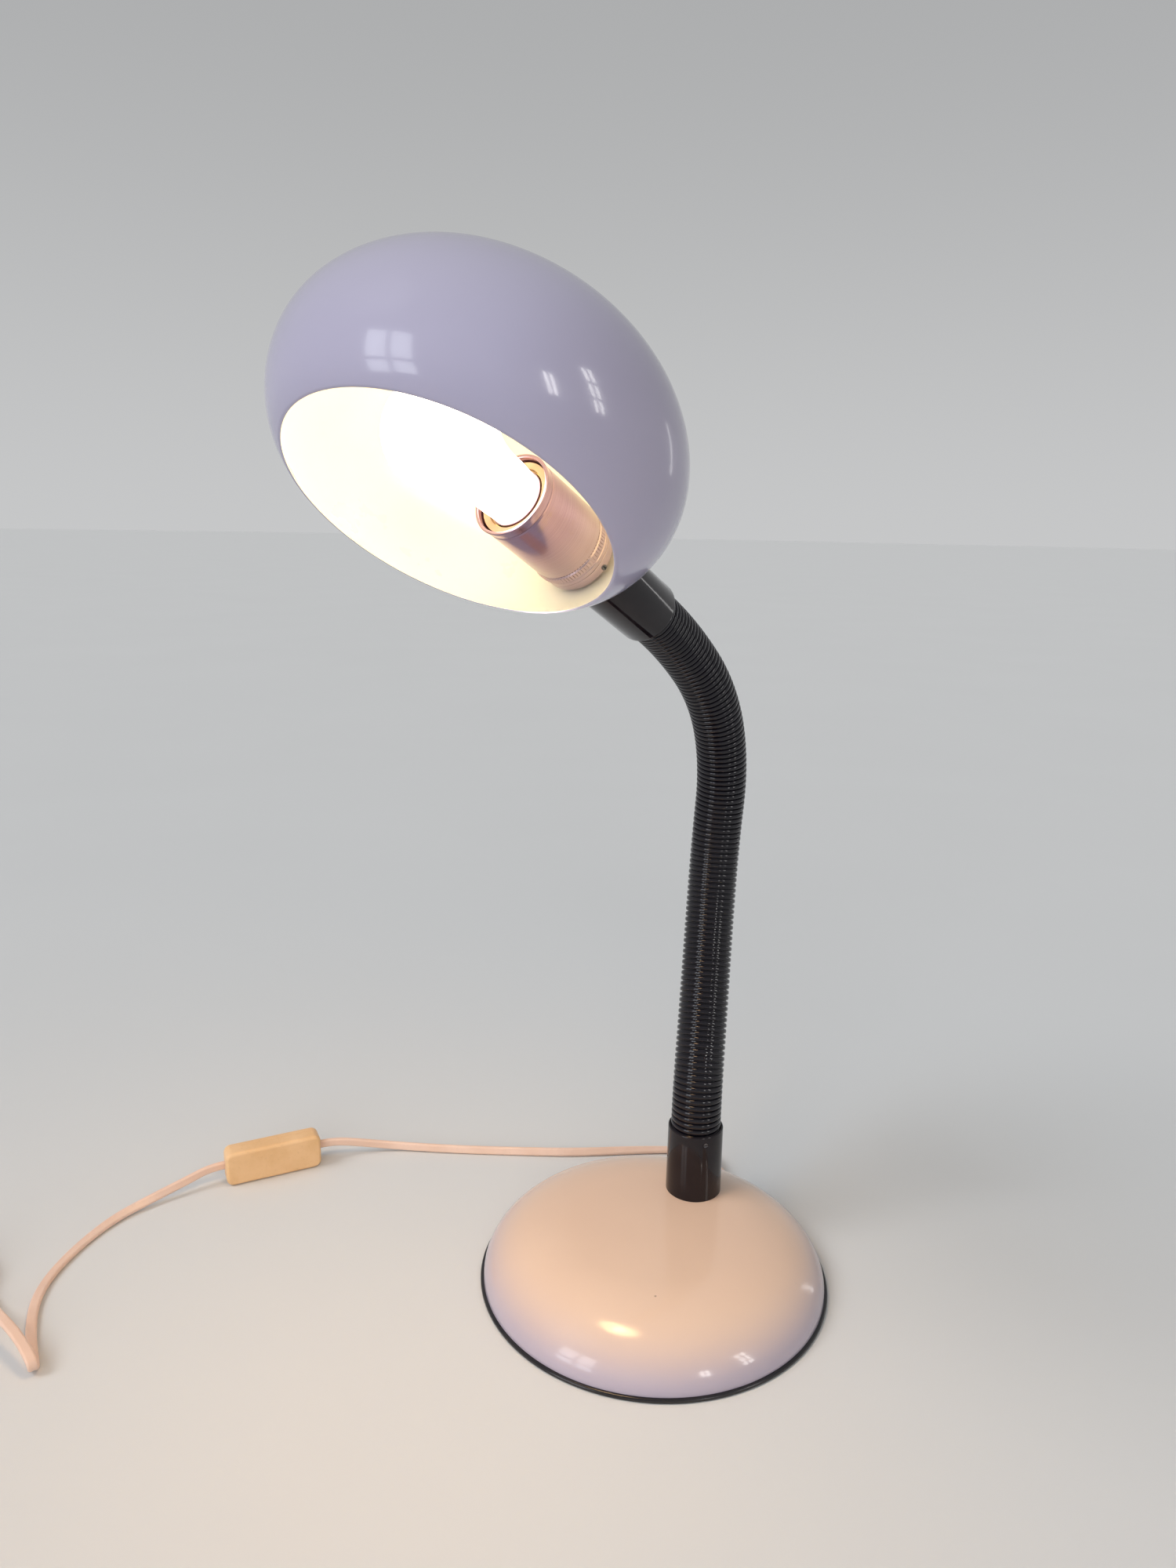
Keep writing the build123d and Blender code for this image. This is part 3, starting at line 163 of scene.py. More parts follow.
class Finish(Shading):
    """A material while it is being made."""

    def __init__(self, name, **constants):
        self.material = bpy.data.materials.new(name)
        super().__init__(self.material)
        self.shader = self.nodes["Principled BSDF"]
        for socket, value in constants.items():
            self.feed(self.shader.inputs[socket.replace("_", " ")], value)

    def place(self):
        """Where a point of the surface is, in metres."""
        return self.node("ShaderNodeTexCoord", output="Object")

    def noise(self, scale, detail=3.0, roughness=0.5, place=None):
        """Soft cloudy variation, about 0.5, at so many waves a metre."""
        sockets = {"Vector": place or self.place(), "Scale": scale, "Detail": detail}
        sockets["Roughness"] = roughness
        return self.node("ShaderNodeTexNoise", sockets=sockets)

    def cells(self, scale):
        """The distance from the nearest of many scattered points."""
        return self.node("ShaderNodeTexVoronoi", sockets={"Vector": self.place(), "Scale": scale})

    def stretched(self, lengths, turn=(0.0, 0.0, 0.0)):
        """Places for a pattern that is drawn out so many times along each axis of a turned frame."""
        sockets = {"Vector": self.place(), "Rotation": turn, "Scale": lengths}
        return self.node("ShaderNodeMapping", {"vector_type": "TEXTURE"}, sockets)

    def away_from(self, point):
        """The distance from a point, in metres."""
        sockets = {0: self.place(), 1: point}
        return self.node("ShaderNodeVectorMath", {"operation": "DISTANCE"}, sockets, "Value")

    def bump(self, height, depth, strength):
        """Raise the surface by a height of 0 to 1 times a depth in metres."""
        sockets = {"Height": height, "Distance": depth, "Strength": strength}
        self.feed(self.shader.inputs["Normal"], self.node("ShaderNodeBump", sockets=sockets))

    def colour(self, share, first, second):
        """Colour the surface, from one colour to another as the share goes from 0 to 1."""
        self.feed(self.shader.inputs["Base Color"], self.mixed(share, first, second))

    def roughness(self, value):
        self.feed(self.shader.inputs["Roughness"], value)


CHIP = (0.0301, -0.0488, 0.0298)
BULB_GLOW = 12.0


def white_enamel():
    """Glossy baked enamel with one small chip, its colour holding painted light: a lavender daylight cast
    on the shade, greyer at its top and darker to its right, and on the base a peach top of painted lamp
    light above a rim in painted shade.
    """
    finish = Finish("white_enamel", Coat_Weight=0.35, Coat_Roughness=0.05, Specular_IOR_Level=0.4)
    aside, _, height = finish.split(finish.place())
    clouds = finish.noise(9.0, 2.0).step(0.35, 0.65)
    # Painted light on the base: the rim is darker as painted shade, the top peach as painted warm lamp
    # light.
    shaded_rim_tint = finish.mixed(clouds, (0.425, 0.370, 0.440), (0.450, 0.390, 0.460))
    lamplit_top_tint = finish.mixed(clouds, (0.695, 0.505, 0.385), (0.720, 0.530, 0.405))
    # Painted light on the shade: a lavender cast of daylight, greyer towards its top, darker and pinker to
    # its right as painted shade and reflection.
    daylit_globe_tint = finish.mixed(clouds, (0.435, 0.415, 0.565), (0.460, 0.440, 0.595))
    daylit_globe_tint = finish.mixed(height.step(0.44, 0.51), daylit_globe_tint, (0.425, 0.405, 0.505))
    daylit_globe_tint = finish.mixed(aside.step(0.015, 0.075), daylit_globe_tint, (0.365, 0.330, 0.415))
    lit_base_tint = finish.mixed(height.step(0.004, 0.027), shaded_rim_tint, lamplit_top_tint)
    lit_enamel_tint = finish.mixed(height.step(0.05, 0.30), lit_base_tint, daylit_globe_tint)
    dust = (1 - finish.cells(140.0).step(0.02, 0.05)) * finish.noise(31.0).step(0.58, 0.66)
    lit_enamel_tint = finish.mixed(dust * 0.35, lit_enamel_tint, (0.33, 0.28, 0.25))
    chip = 1 - (finish.away_from(CHIP) + finish.noise(900.0) * 0.0008).step(0.0010, 0.0015)
    finish.colour(chip, lit_enamel_tint, (0.09, 0.05, 0.03))
    smears = finish.noise(26.0, 4.0, 0.6)
    finish.roughness(smears.step(0.3, 0.75) * 0.08 + 0.11 + chip * 0.4)
    ripple = finish.noise(230.0, 2.0) * 0.6 + finish.noise(60.0, 1.0) - chip * 2.0
    finish.bump(ripple, 0.00006, 0.5)
    return finish


def lining_enamel(holder_foot):
    """The cream-white enamel inside the shade, with painted light that makes it whitest about the foot of
    the holder, where the holder shades it.
    """
    finish = Finish("lining_enamel", Coat_Weight=0.3, Coat_Roughness=0.10)
    clouds = finish.noise(14.0)
    cream = finish.mixed(clouds.step(0.35, 0.7), (0.85, 0.80, 0.64), (0.81, 0.755, 0.60))
    # Painted light: whiter within a few centimetres of the holder's foot, which the holder keeps in shade.
    finish.colour(finish.away_from(holder_foot).step(0.035, 0.085), (0.88, 0.87, 0.82), cream)
    finish.roughness(finish.noise(40.0, 4.0) * 0.15 + 0.22)
    finish.bump(finish.noise(200.0, 2.0), 0.00006, 0.4)
    return finish


def gloss_black():
    """Black stoved enamel with fingermarks."""
    finish = Finish("gloss_black", Coat_Weight=0.12, Coat_Roughness=0.03, Specular_IOR_Level=0.31)
    marks = finish.noise(70.0, 5.0, 0.6)
    finish.colour(marks.step(0.4, 0.8), (0.007, 0.004, 0.006), (0.015, 0.010, 0.012))
    finish.roughness(marks.step(0.3, 0.8) * 0.10 + 0.06)
    finish.bump(finish.noise(300.0, 2.0), 0.00005, 0.4)
    return finish


def satin_black():
    """The black sleeve of the neck, with a low sheen and a little dust."""
    finish = Finish("satin_black", Specular_IOR_Level=0.45)
    clouds = finish.noise(45.0, 4.0, 0.6)
    dust = finish.noise(800.0, 3.0, 0.7).step(0.55, 0.78) * clouds.step(0.4, 0.7)
    finish.colour(dust * 0.3, (0.0045, 0.0035, 0.0070), (0.040, 0.036, 0.040))
    finish.roughness(clouds * 0.05 + 0.05 + dust * 0.08)
    finish.bump(finish.noise(1500.0), 0.00003, 0.5)
    return finish


def black_plastic():
    """Moulded black plastic with a fine matt grain."""
    finish = Finish("black_plastic")
    grain = finish.noise(1600.0, 3.0, 0.6)
    clouds = finish.noise(40.0)
    finish.colour(clouds.step(0.3, 0.7), (0.007, 0.006, 0.008), (0.017, 0.015, 0.017))
    finish.roughness(grain * 0.08 + 0.12 + clouds * 0.08)
    finish.bump(grain, 0.00005, 0.4)
    return finish


def felt():
    """Pressed dark felt, matted and hairy."""
    finish = Finish("felt", Specular_IOR_Level=0.2)
    hairs = finish.noise(2400.0, 5.0, 0.75)
    clouds = finish.noise(60.0, 4.0)
    finish.colour(hairs * 0.6 + clouds * 0.4, (0.010, 0.011, 0.010), (0.075, 0.078, 0.070))
    finish.roughness(hairs * 0.1 + 0.88)
    finish.bump(hairs, 0.0004, 0.8)
    return finish


def fibreboard():
    """Brown pressed board with short fibres."""
    finish = Finish("fibreboard", Specular_IOR_Level=0.3)
    fibres = finish.noise(900.0, 4.0, 0.7, finish.stretched((1.0, 4.0, 1.0)))
    finish.colour(fibres.step(0.3, 0.75), (0.10, 0.065, 0.038), (0.24, 0.17, 0.10))
    finish.roughness(fibres * 0.15 + 0.7)
    finish.bump(fibres, 0.0002, 0.6)
    return finish


def iron():
    """Rough cast iron, dark with a trace of rust."""
    finish = Finish("iron")
    sand = finish.noise(700.0, 5.0, 0.7)
    rust = finish.noise(35.0, 5.0, 0.65).step(0.52, 0.70)
    finish.colour(rust * 0.6, (0.060, 0.058, 0.056), (0.16, 0.065, 0.025))
    finish.feed(finish.shader.inputs["Metallic"], 0.8 - rust * 0.7)
    finish.roughness(sand * 0.2 + 0.5 + rust * 0.2)
    finish.bump(sand, 0.0003, 0.7)
    return finish


def steel():
    """Bright zinc-plated steel with a fine spangle."""
    finish = Finish("steel", Metallic=1.0)
    spangle = finish.cells(600.0)
    marks = finish.noise(110.0, 4.0, 0.6)
    finish.colour(spangle.step(0.1, 0.7), (0.52, 0.53, 0.54), (0.66, 0.66, 0.65))
    finish.roughness(marks * 0.2 + 0.2)
    finish.bump(marks, 0.00003, 0.4)
    return finish


def spring_steel():
    """Blued spring steel, oily and dark."""
    finish = Finish("spring_steel", Metallic=1.0)
    oil = finish.noise(90.0, 4.0, 0.6)
    finish.colour(oil.step(0.3, 0.7), (0.10, 0.11, 0.14), (0.20, 0.19, 0.18))
    finish.roughness(oil * 0.2 + 0.22)
    finish.bump(finish.noise(1200.0), 0.00003, 0.4)
    return finish


def alloy(end_turn, rim_middle):
    """Satin aluminium, turned in fine rings about the holder's axis, with a pink cast of painted warm
    light and a painted dark reflection near its rim.
    """
    finish = Finish("alloy", Metallic=1.0)
    rings = finish.noise(2600.0, 3.0, 0.6, finish.stretched((400.0, 400.0, 1.0), end_turn))
    stains = finish.noise(75.0, 5.0, 0.65)
    # Painted light: the pink cast stands for warm light on the alloy; darker and purpler near the rim as a
    # painted dark reflection.
    cool = finish.mixed(rings.step(0.3, 0.7), (0.43, 0.33, 0.37), (0.51, 0.41, 0.45))
    dark_reflection_tint = finish.mixed(rings.step(0.3, 0.7), (0.29, 0.195, 0.29), (0.36, 0.26, 0.35))
    clean = finish.mixed(finish.away_from(rim_middle).step(0.022, 0.050), dark_reflection_tint, cool)
    finish.colour(stains.step(0.54, 0.76) * 0.5, clean, (0.33, 0.23, 0.19))
    finish.roughness(rings * 0.08 + 0.12 + stains * 0.10)
    finish.bump(rings, 0.00001, 0.4)
    return finish


def flex_sheath():
    """The white sheath of the flex inside the neck."""
    finish = Finish("flex_sheath")
    clouds = finish.noise(120.0)
    finish.colour(clouds.step(0.3, 0.7), (0.55, 0.54, 0.52), (0.66, 0.65, 0.62))
    finish.roughness(clouds * 0.15 + 0.4)
    finish.bump(finish.noise(1400.0), 0.00005, 0.4)
    return finish


def cord_white():
    """White vinyl flex, faintly pink with age, handled and a little grey in places; its peach colour is
    mostly painted warm lamp light.
    """
    finish = Finish("cord_white")
    clouds = finish.noise(38.0, 4.0, 0.6)
    grime = finish.noise(420.0, 4.0, 0.7).step(0.5, 0.8) * clouds.step(0.4, 0.7)
    # Painted light: the peach of the clean flex stands for the warm lamp light on it.
    clean = finish.mixed(clouds.step(0.3, 0.7), (0.76, 0.53, 0.41), (0.82, 0.59, 0.47))
    finish.colour(grime * 0.35, clean, (0.42, 0.33, 0.27))
    finish.roughness(clouds * 0.12 + 0.28 + grime * 0.15)
    finish.bump(finish.noise(1300.0), 0.00006, 0.5)
    return finish


def cream_plastic():
    """Cream urea plastic, yellowed unevenly and polished by fingers; its orange warmth is painted warm
    lamp light on top of the cream.
    """
    finish = Finish("cream_plastic")
    clouds = finish.noise(55.0, 4.0, 0.6)
    grime = finish.noise(650.0, 4.0, 0.7).step(0.56, 0.8)
    # Painted light: the orange in these colours stands for the warm lamp light on the switch.
    clean = finish.mixed(clouds.step(0.3, 0.7), (0.75, 0.46, 0.22), (0.82, 0.53, 0.28))
    finish.colour(grime * 0.35, clean, (0.40, 0.26, 0.14))
    finish.roughness(clouds * 0.14 + 0.28 + grime * 0.12)
    finish.bump(finish.noise(500.0), 0.00006, 0.5)
    return finish


def brass():
    """Lightly tarnished brass."""
    finish = Finish("brass", Metallic=1.0)
    tarnish = finish.noise(150.0, 5.0, 0.65)
    finish.colour(tarnish.step(0.45, 0.75), (0.80, 0.58, 0.28), (0.42, 0.27, 0.11))
    finish.roughness(tarnish * 0.25 + 0.15)
    finish.bump(tarnish, 0.00004, 0.4)
    return finish


def ceramic():
    """Holder ceramic, uneven in colour and finely pitted, painted dark brown as the shade down inside the
    holder.
    """
    finish = Finish("ceramic")
    pits = finish.cells(1500.0).step(0.0, 0.3)
    clouds = finish.noise(80.0)
    # Painted shade: the dark brown stands for the shade down inside the holder.
    finish.colour(clouds.step(0.3, 0.7), (0.22, 0.12, 0.07), (0.30, 0.18, 0.11))
    finish.roughness(0.62 - pits * 0.12 + clouds * 0.1)
    finish.bump(pits, 0.00008, 0.5)
    return finish


def bulb_glass(axis_point, axis):
    """The lit bulb: opal glass that glows all over, but for its foot down in the holder."""
    finish = Finish("bulb_glass", Roughness=0.12, Emission_Strength=BULB_GLOW, Coat_Weight=0.3)
    from_point = {0: finish.place(), 1: axis_point}
    reach = finish.node("ShaderNodeVectorMath", {"operation": "SUBTRACT"}, from_point)
    onto_axis = {0: reach, 1: axis}
    along = finish.node("ShaderNodeVectorMath", {"operation": "DOT_PRODUCT"}, onto_axis, "Value")
    frost = finish.noise(500.0)
    finish.colour(frost, (0.82, 0.79, 0.72), (0.90, 0.87, 0.80))
    glow = finish.mixed(along.step(0.112, 0.122), (0.07, 0.035, 0.012), (1.0, 0.88, 0.64))
    finish.feed(finish.shader.inputs["Emission Color"], glow)
    finish.bump(frost, 0.00003, 0.3)
    return finish


# ---------- frames along the neck

FOOT_Y = 43.5
FOOT_TOP = 70.0
SECTION = 46.7
BENDS = (
    (-25.8, -11.5), (3.4, 1.3), (10.5, 6.1), (13.3, 8.9),
    (22.7, -2.7), (20.9, -9.1), (16.6, 4.0),
)
NECK = SECTION * len(BENDS)
RIBS_PER_SECTION = 15
RIB_PITCH = SECTION / RIBS_PER_SECTION


def along_bend(start, bend, distance):
    """The frame across the neck at a distance into a section that starts at a frame."""
    pitch, sway = bend
    swing = radians(hypot(pitch, sway))
    across, beside, onward = (start.col[axis].to_3d() for axis in range(3))
    turn = (across * pitch + beside * sway).normalized()
    radius = SECTION / swing
    part = swing * distance / SECTION
    moved = onward * (radius * sin(part)) + turn.cross(onward) * (radius * (1 - cos(part)))
    rotation = Quaternion(turn, part).to_matrix().to_4x4()
    return Matrix.Translation(start.translation + moved) @ rotation @ start.to_3x3().to_4x4()


section_starts = [Matrix.Translation((0.0, FOOT_Y, FOOT_TOP))]
for section_bend in BENDS:
    section_starts.append(along_bend(section_starts[-1], section_bend, SECTION))
neck_end = section_starts[-1]


def station(distance):
    """The frame across the neck at a distance along it, straight on past both ends."""
    if distance <= 0:
        return section_starts[0] @ Matrix.Translation((0.0, 0.0, distance))
    if distance >= NECK:
        return neck_end @ Matrix.Translation((0.0, 0.0, distance - NECK))
    section = int(distance // SECTION)
    return along_bend(section_starts[section], BENDS[section], distance - section * SECTION)


# The back and the rim of the holder, at distances past the end of the neck
CAP_BACK = 61.5
HOLDER_RIM = 118.3
neck_dir = neck_end.col[2].to_3d()
holder_foot = neck_end.translation + neck_dir * CAP_BACK
holder_mouth = neck_end.translation + neck_dir * HOLDER_RIM

SHADE_REACH = 144.2
SHADE_DROP = -8.2
SHADE_TILT = radians(82.0)
SHADE_ROLL = radians(4.2)
down = Vector((0.0, 0.0, -1.0))
downward = (down - neck_dir * down.dot(neck_dir)).normalized()
sideways = neck_dir.cross(downward)
mouth_side = downward * cos(SHADE_ROLL) + sideways * sin(SHADE_ROLL)
shade_dir = mouth_side * sin(SHADE_TILT) + neck_dir * cos(SHADE_TILT)
shade_centre = neck_end.translation + neck_dir * SHADE_REACH + shade_dir * SHADE_DROP
shade_across = sideways.cross(shade_dir).normalized()
shade_axes = Matrix((shade_across, shade_dir.cross(shade_across), shade_dir)).transposed()
shade_frame = Matrix.Translation(shade_centre) @ shade_axes.to_4x4()

# ---------- making pieces

ROUNDING = 4
SHARP = radians(38.0)
UP = Vector((0.0, 0.0, 1.0))
slots = {name: node.data.materials[0].name for name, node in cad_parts.items()}
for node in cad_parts.values():
    node.data.materials.clear()
for material in list(bpy.data.materials):
    bpy.data.materials.remove(material)
# The finishes that need no measure of the lamp, and then the two that do
PLAIN_FINISHES = (
    white_enamel, gloss_black, satin_black, black_plastic, cord_white, flex_sheath, cream_plastic,
    felt, fibreboard, iron, steel, spring_steel, brass, ceramic,
)
finishes = {make.__name__: make() for make in PLAIN_FINISHES}
finishes["alloy"] = alloy(neck_end.to_3x3().to_euler(), holder_mouth * MM)
finishes["bulb_glass"] = bulb_glass(neck_end.translation * MM, neck_dir)


def curve_through(start, first_handle, second_handle, end, count):
    """Points of a smooth outline from one corner to another."""
    corners = [Vector((*corner, 0.0)) for corner in (start, first_handle, second_handle, end)]
    return [(point.x, point.y) for point in interpolate_bezier(*corners, count)]


def rounded(bm, geom, offset, segments, affect="EDGES"):
    """Round some edges or corners of a form."""
    bmesh.ops.bevel(
        bm,
        geom=geom,
        offset=offset,
        offset_type="OFFSET",
        segments=segments,
        profile=0.5,
        affect=affect,
        material=-1,
    )


def facing_out(bm):
    """Turn the faces of a form outwards."""
    bmesh.ops.recalc_face_normals(bm, faces=list(bm.faces))


def moved(bm, matrix):
    """Move, turn or scale a whole form."""
    bmesh.ops.transform(bm, matrix=matrix, verts=list(bm.verts))


def block(bm, size, centre):
    """Add a block to a form, and return its corners."""
    corners = bmesh.ops.create_cube(bm, size=1.0)["verts"]
    bmesh.ops.scale(bm, vec=size, verts=corners)
    bmesh.ops.translate(bm, vec=centre, verts=corners)
    return corners


def mesh_from(bm, name):
    """Turn a form into a mesh, and let the form go."""
    mesh = bpy.data.meshes.new(name)
    bm.to_mesh(mesh)
    bm.free()
    return mesh


def mesh_of(piece):
    """The mesh that Blender shows for an object."""
    graph = bpy.context.evaluated_depsgraph_get()
    graph.update()
    return bpy.data.meshes.new_from_object(piece.evaluated_get(graph))


def outline_loop(outline):
    """A wire in the XZ plane through (radius, height) corners, those with a third number rounded."""
    bm = bmesh.new()
    corners = [bm.verts.new((corner[0], 0.0, corner[1])) for corner in outline]
    bm.faces.new(corners)
    for vert, corner in zip(corners, outline):
        if len(corner) == 3:
            rounded(bm, [vert], corner[2], ROUNDING, "VERTICES")
    bmesh.ops.delete(bm, geom=list(bm.faces), context="FACES_ONLY")
    on_axis = [edge for edge in bm.edges if max(abs(vert.co.x) for vert in edge.verts) < 1e-6]
    bmesh.ops.delete(bm, geom=on_axis, context="EDGES")
    return bm


def turned(outline, steps):
    """A solid turned about Z from half its outline."""
    bm = outline_loop(outline)
    wire = list(bm.verts) + list(bm.edges)
    bmesh.ops.spin(
        bm, geom=wire, cent=(0, 0, 0), axis=(0, 0, 1), angle=2 * pi, steps=steps, use_merge=True
    )
    bmesh.ops.remove_doubles(bm, verts=list(bm.verts), dist=1e-4)
    facing_out(bm)
    return bm


def finished(bm, name, slot, placed=None):
    """Place a form, smooth it and make it a piece with its finish."""
    if placed is not None:
        moved(bm, TO_METRES @ placed)
    mesh = mesh_from(bm, name)
    mesh.shade_smooth()
    mesh.set_sharp_from_angle(angle=SHARP)
    mesh.materials.append(finishes[slot].material)
    piece = added(name, mesh)
    return piece


def made(bm, name, slot, body, nodes, placed):
    """Finish a piece that rides on one body and stands for these CAD nodes."""
    piece = finished(bm, name, slot, placed)
    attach(piece, body)
    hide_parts(*nodes)
    return piece


def cut_out(bm, cutter):
    """What is left of one form when another is cut out of it."""
    blank = added("blank", mesh_from(bm, "blank"))
    tool = added("cutter", mesh_from(cutter, "cutter"))
    cut = blank.modifiers.new("cut", "BOOLEAN")
    cut.operation = "DIFFERENCE"
    cut.object = tool
    result = bmesh.new()
    result.from_mesh(mesh_of(blank))
    for item in (blank, tool):
        bpy.data.objects.remove(item)
    return result


def seat_of(bm, matrix):
    """The surface of a form in the frame of the collar that stands on it; the form is let go."""
    moved(bm, matrix)
    surface = BVHTree.FromBMesh(bm)
    bm.free()
    return surface


def seated(bm, end, direction, seat):
    """Slide the end ring of a collar along it until it lies on the surface it stands on."""
    for vert in bm.verts:
        if vert.co.z * direction > end * direction - 1e-3:
            start = Vector((vert.co.x, vert.co.y, 0.0 if direction > 0 else FOOT_TOP))
            hit = seat.ray_cast(start, Vector((0.0, 0.0, direction)))
            vert.co.z = hit[0].z


# ---------- cord on the table

CORD_WIDTH = 0.0054
CORD_THICK = 0.0029
FLEX_WAIST = 0.00028
CORE_STEPS = 8
STEEP = 0.8
# The height of the flex's middle over the table: flat, on edge, and half-way between
LYING = CORD_THICK / 2
STANDING = CORD_WIDTH / 2
LEANING = (LYING + STANDING) / 2


def flat_section():
    """The section of the twin flex, two cores side by side with a slight waist between them."""
    curve = bpy.data.curves.new("flex_section", "CURVE")
    curve.dimensions = "2D"
    line = curve.splines.new("POLY")
    corners = []
    for side in (0.0, pi):
        centre = (CORD_WIDTH - CORD_THICK) / 2 * cos(side)
        for step in range(CORE_STEPS + 1):
            angle = side - pi / 2 + pi * step / CORE_STEPS
            corners.append((centre + LYING * cos(angle), LYING * sin(angle)))
        corners.append((0.0, (LYING - FLEX_WAIST) * cos(side)))
    line.points.add(len(corners) - 1)
    for point, corner in zip(line.points, corners):
        point.co = (*corner, 0.0, 1.0)
    line.use_cyclic_u = True
    return added("flex_section", curve)


def level_rolls(route):
    """How far to roll the flex at each point of its route to keep its flat side level."""
    points = [Vector(place) for place in route]
    runs = [after - before for before, after in zip(points, points[1:])]
    side = runs[0].cross(UP).normalized()
    rolls = [0.0]
    for before, after in zip(runs, runs[1:]):
        side.rotate(before.rotation_difference(after))
        level = after.cross(UP).normalized()
        roll = atan2(after.normalized().dot(side.cross(level)), side.dot(level))
        roll += pi * round((rolls[-1] - roll) / pi)
        steep = abs(after.normalized().z) > STEEP
        rolls.append(rolls[-1] if steep else roll)
    shared = [(before + after) / 2 for before, after in zip(rolls, rolls[1:])]
    return [rolls[0], *shared, rolls[-1]]


def cord_line(name, route, on_edge):
    """A smooth curve that follows a route, with the flex turned on edge by these angles."""
    curve = bpy.data.curves.new(name, "CURVE")
    curve.dimensions = "3D"
    curve.twist_mode = "MINIMUM"
    curve.resolution_u = 6
    curve.use_fill_caps = True
    spline = curve.splines.new("NURBS")
    spline.points.add(len(route) - 1)
    for point, place, roll in zip(spline.points, route, level_rolls(route)):
        point.co = (*place, 1.0)
        point.tilt = roll
    for index, angle in on_edge.items():
        spline.points[index].tilt += radians(angle)
    spline.order_u = 3
    spline.use_endpoint_u = True
    return added(name, curve)


def flex_along(name, route, on_edge, section):
    """The flat flex laid along a route, with the points of its centreline."""
    line = cord_line(name + "_line", route, on_edge)
    centreline = mesh_of(line)
    path = [vert.co.copy() for vert in centreline.vertices]
    bpy.data.meshes.remove(centreline)
    line.data.bevel_mode = "OBJECT"
    line.data.bevel_object = section
    mesh = mesh_of(line)
    bpy.data.objects.remove(line)
    bm = bmesh.new()
    bm.from_mesh(mesh)
    bmesh.ops.remove_doubles(bm, verts=list(bm.verts), dist=1e-6)
    facing_out(bm)
    piece = finished(bm, name, "cord_white")
    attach(piece, "base")
    return piece, path


SWITCH_CENTRE = Vector((-0.246, -0.058, 0.011))
SWITCH_LENGTH = 0.058
SWITCH_LEAD = 0.009
switch_dir = heading(59.8)
switch_near = SWITCH_CENTRE + switch_dir * SWITCH_LENGTH / 2
switch_far = SWITCH_CENTRE - switch_dir * SWITCH_LENGTH / 2

# The way of the tube in the CAD part, at heights that let the flat flex lie on the table
ROUTE_TO_SWITCH = (
    (-0.01954, 0.10862, 0.0070), (-0.0264, 0.1184, 0.0062), (-0.0450, 0.1130, 0.0020),
    (-0.0691, 0.0950, LEANING), (-0.1000, 0.0675, STANDING), (-0.1330, 0.0454, STANDING),
    (-0.1660, 0.0240, STANDING), (-0.2010, 0.0030, 0.0034), (-0.2171, -0.0143, 0.0086),
    tuple(switch_near + switch_dir * SWITCH_LEAD),
    tuple(switch_near),
)
ROUTE_TO_COIL = (
    tuple(switch_far),
    tuple(switch_far - switch_dir * SWITCH_LEAD),
    (-0.2692, -0.1030, 0.0080), (-0.2760, -0.1260, 0.0040), (-0.2790, -0.1500, LEANING),
    (-0.2705, -0.1810, LYING), (-0.2560, -0.2065, LYING), (-0.2340, -0.2235, LYING),
    (-0.2024, -0.2388, LYING), (-0.2016, -0.2396, 0.0088), (-0.2190, -0.2366, 0.0122),
    (-0.2380, -0.2360, 0.0154), (-0.2540, -0.2326, 0.0096), (-0.2670, -0.22572, LYING),
)
# How far the flex leans over at the numbered points of its routes, in degrees: 90 is on edge
ON_EDGE_TO_SWITCH = {3: -30.0, 4: -60.0, 5: -75.0, 6: -80.0, 7: -85.0, 8: -90.0, 9: -90.0, 10: -90.0}
ON_EDGE_TO_PLUG = {0: -90.0, 1: -90.0, 2: -80.0, 3: -55.0, 4: -25.0}

COIL_CENTRE = Vector((-0.302, -0.249, 0.0))
COIL_RADIUS = 0.029
COIL_STEP = 0.00285
COIL_LAYERS = 4
COIL_HEADING = 170.0
POINTS_PER_TURN = 24
TIE_SHEET = 0.0004
PLUG_HEIGHT = 0.0070
TAIL = 0.037
# Where the flex enters and leaves the coil and how long it takes to cross to a lane, in degrees
COIL_ENTRY = 84.0
COIL_LEAVING = 228.0
COIL_CROSSING = 50.0
outer = COIL_RADIUS + COIL_STEP
inner = COIL_RADIUS - COIL_STEP
LANES = [(outer, 0), (inner, 0), (inner, 1), (outer, 1), (outer, 2), (inner, 2), (inner, 3), (outer, 3)]
tail_dir = -heading(COIL_HEADING)
tail_start = COIL_CENTRE + heading(COIL_HEADING + 90) * COIL_RADIUS
plug_end = tail_start + tail_dir * TAIL + Vector((0.0, 0.0, PLUG_HEIGHT))


def coil_points():
    """The turns of the put-away length, two across and four high, each lane crossing to the next."""
    points = []
    last = (len(LANES) - 1) * 360.0 + COIL_LEAVING
    angle = COIL_ENTRY
    while angle <= last:
        lane = int((angle - COIL_ENTRY) // 360.0)
        done = (angle - COIL_ENTRY) % 360.0
        following = min(lane + 1, len(LANES) - 1)
        share = max(0.0, (done - 360.0 + COIL_CROSSING) / COIL_CROSSING)
        radius = LANES[lane][0] * (1 - share) + LANES[following][0] * share
        layer = LANES[lane][1] * (1 - share) + LANES[following][1] * share
        height = LYING + TIE_SHEET + layer * CORD_THICK
        points.append(tuple(COIL_CENTRE + heading(angle) * radius + UP * height))
        angle += 360.0 / POINTS_PER_TURN
    return points


ROUTE_TO_PLUG = (
    *ROUTE_TO_COIL,
    *coil_points(),
    tuple(tail_start - tail_dir * 0.004 + Vector((-0.0002, -0.0014, 0.0098))),
    tuple(tail_start + tail_dir * 0.012 + Vector((0.0, 0.0, 0.0078))),
    tuple(tail_start + tail_dir * 0.026 + Vector((0.0, 0.0, PLUG_HEIGHT))),
    tuple(plug_end),
)

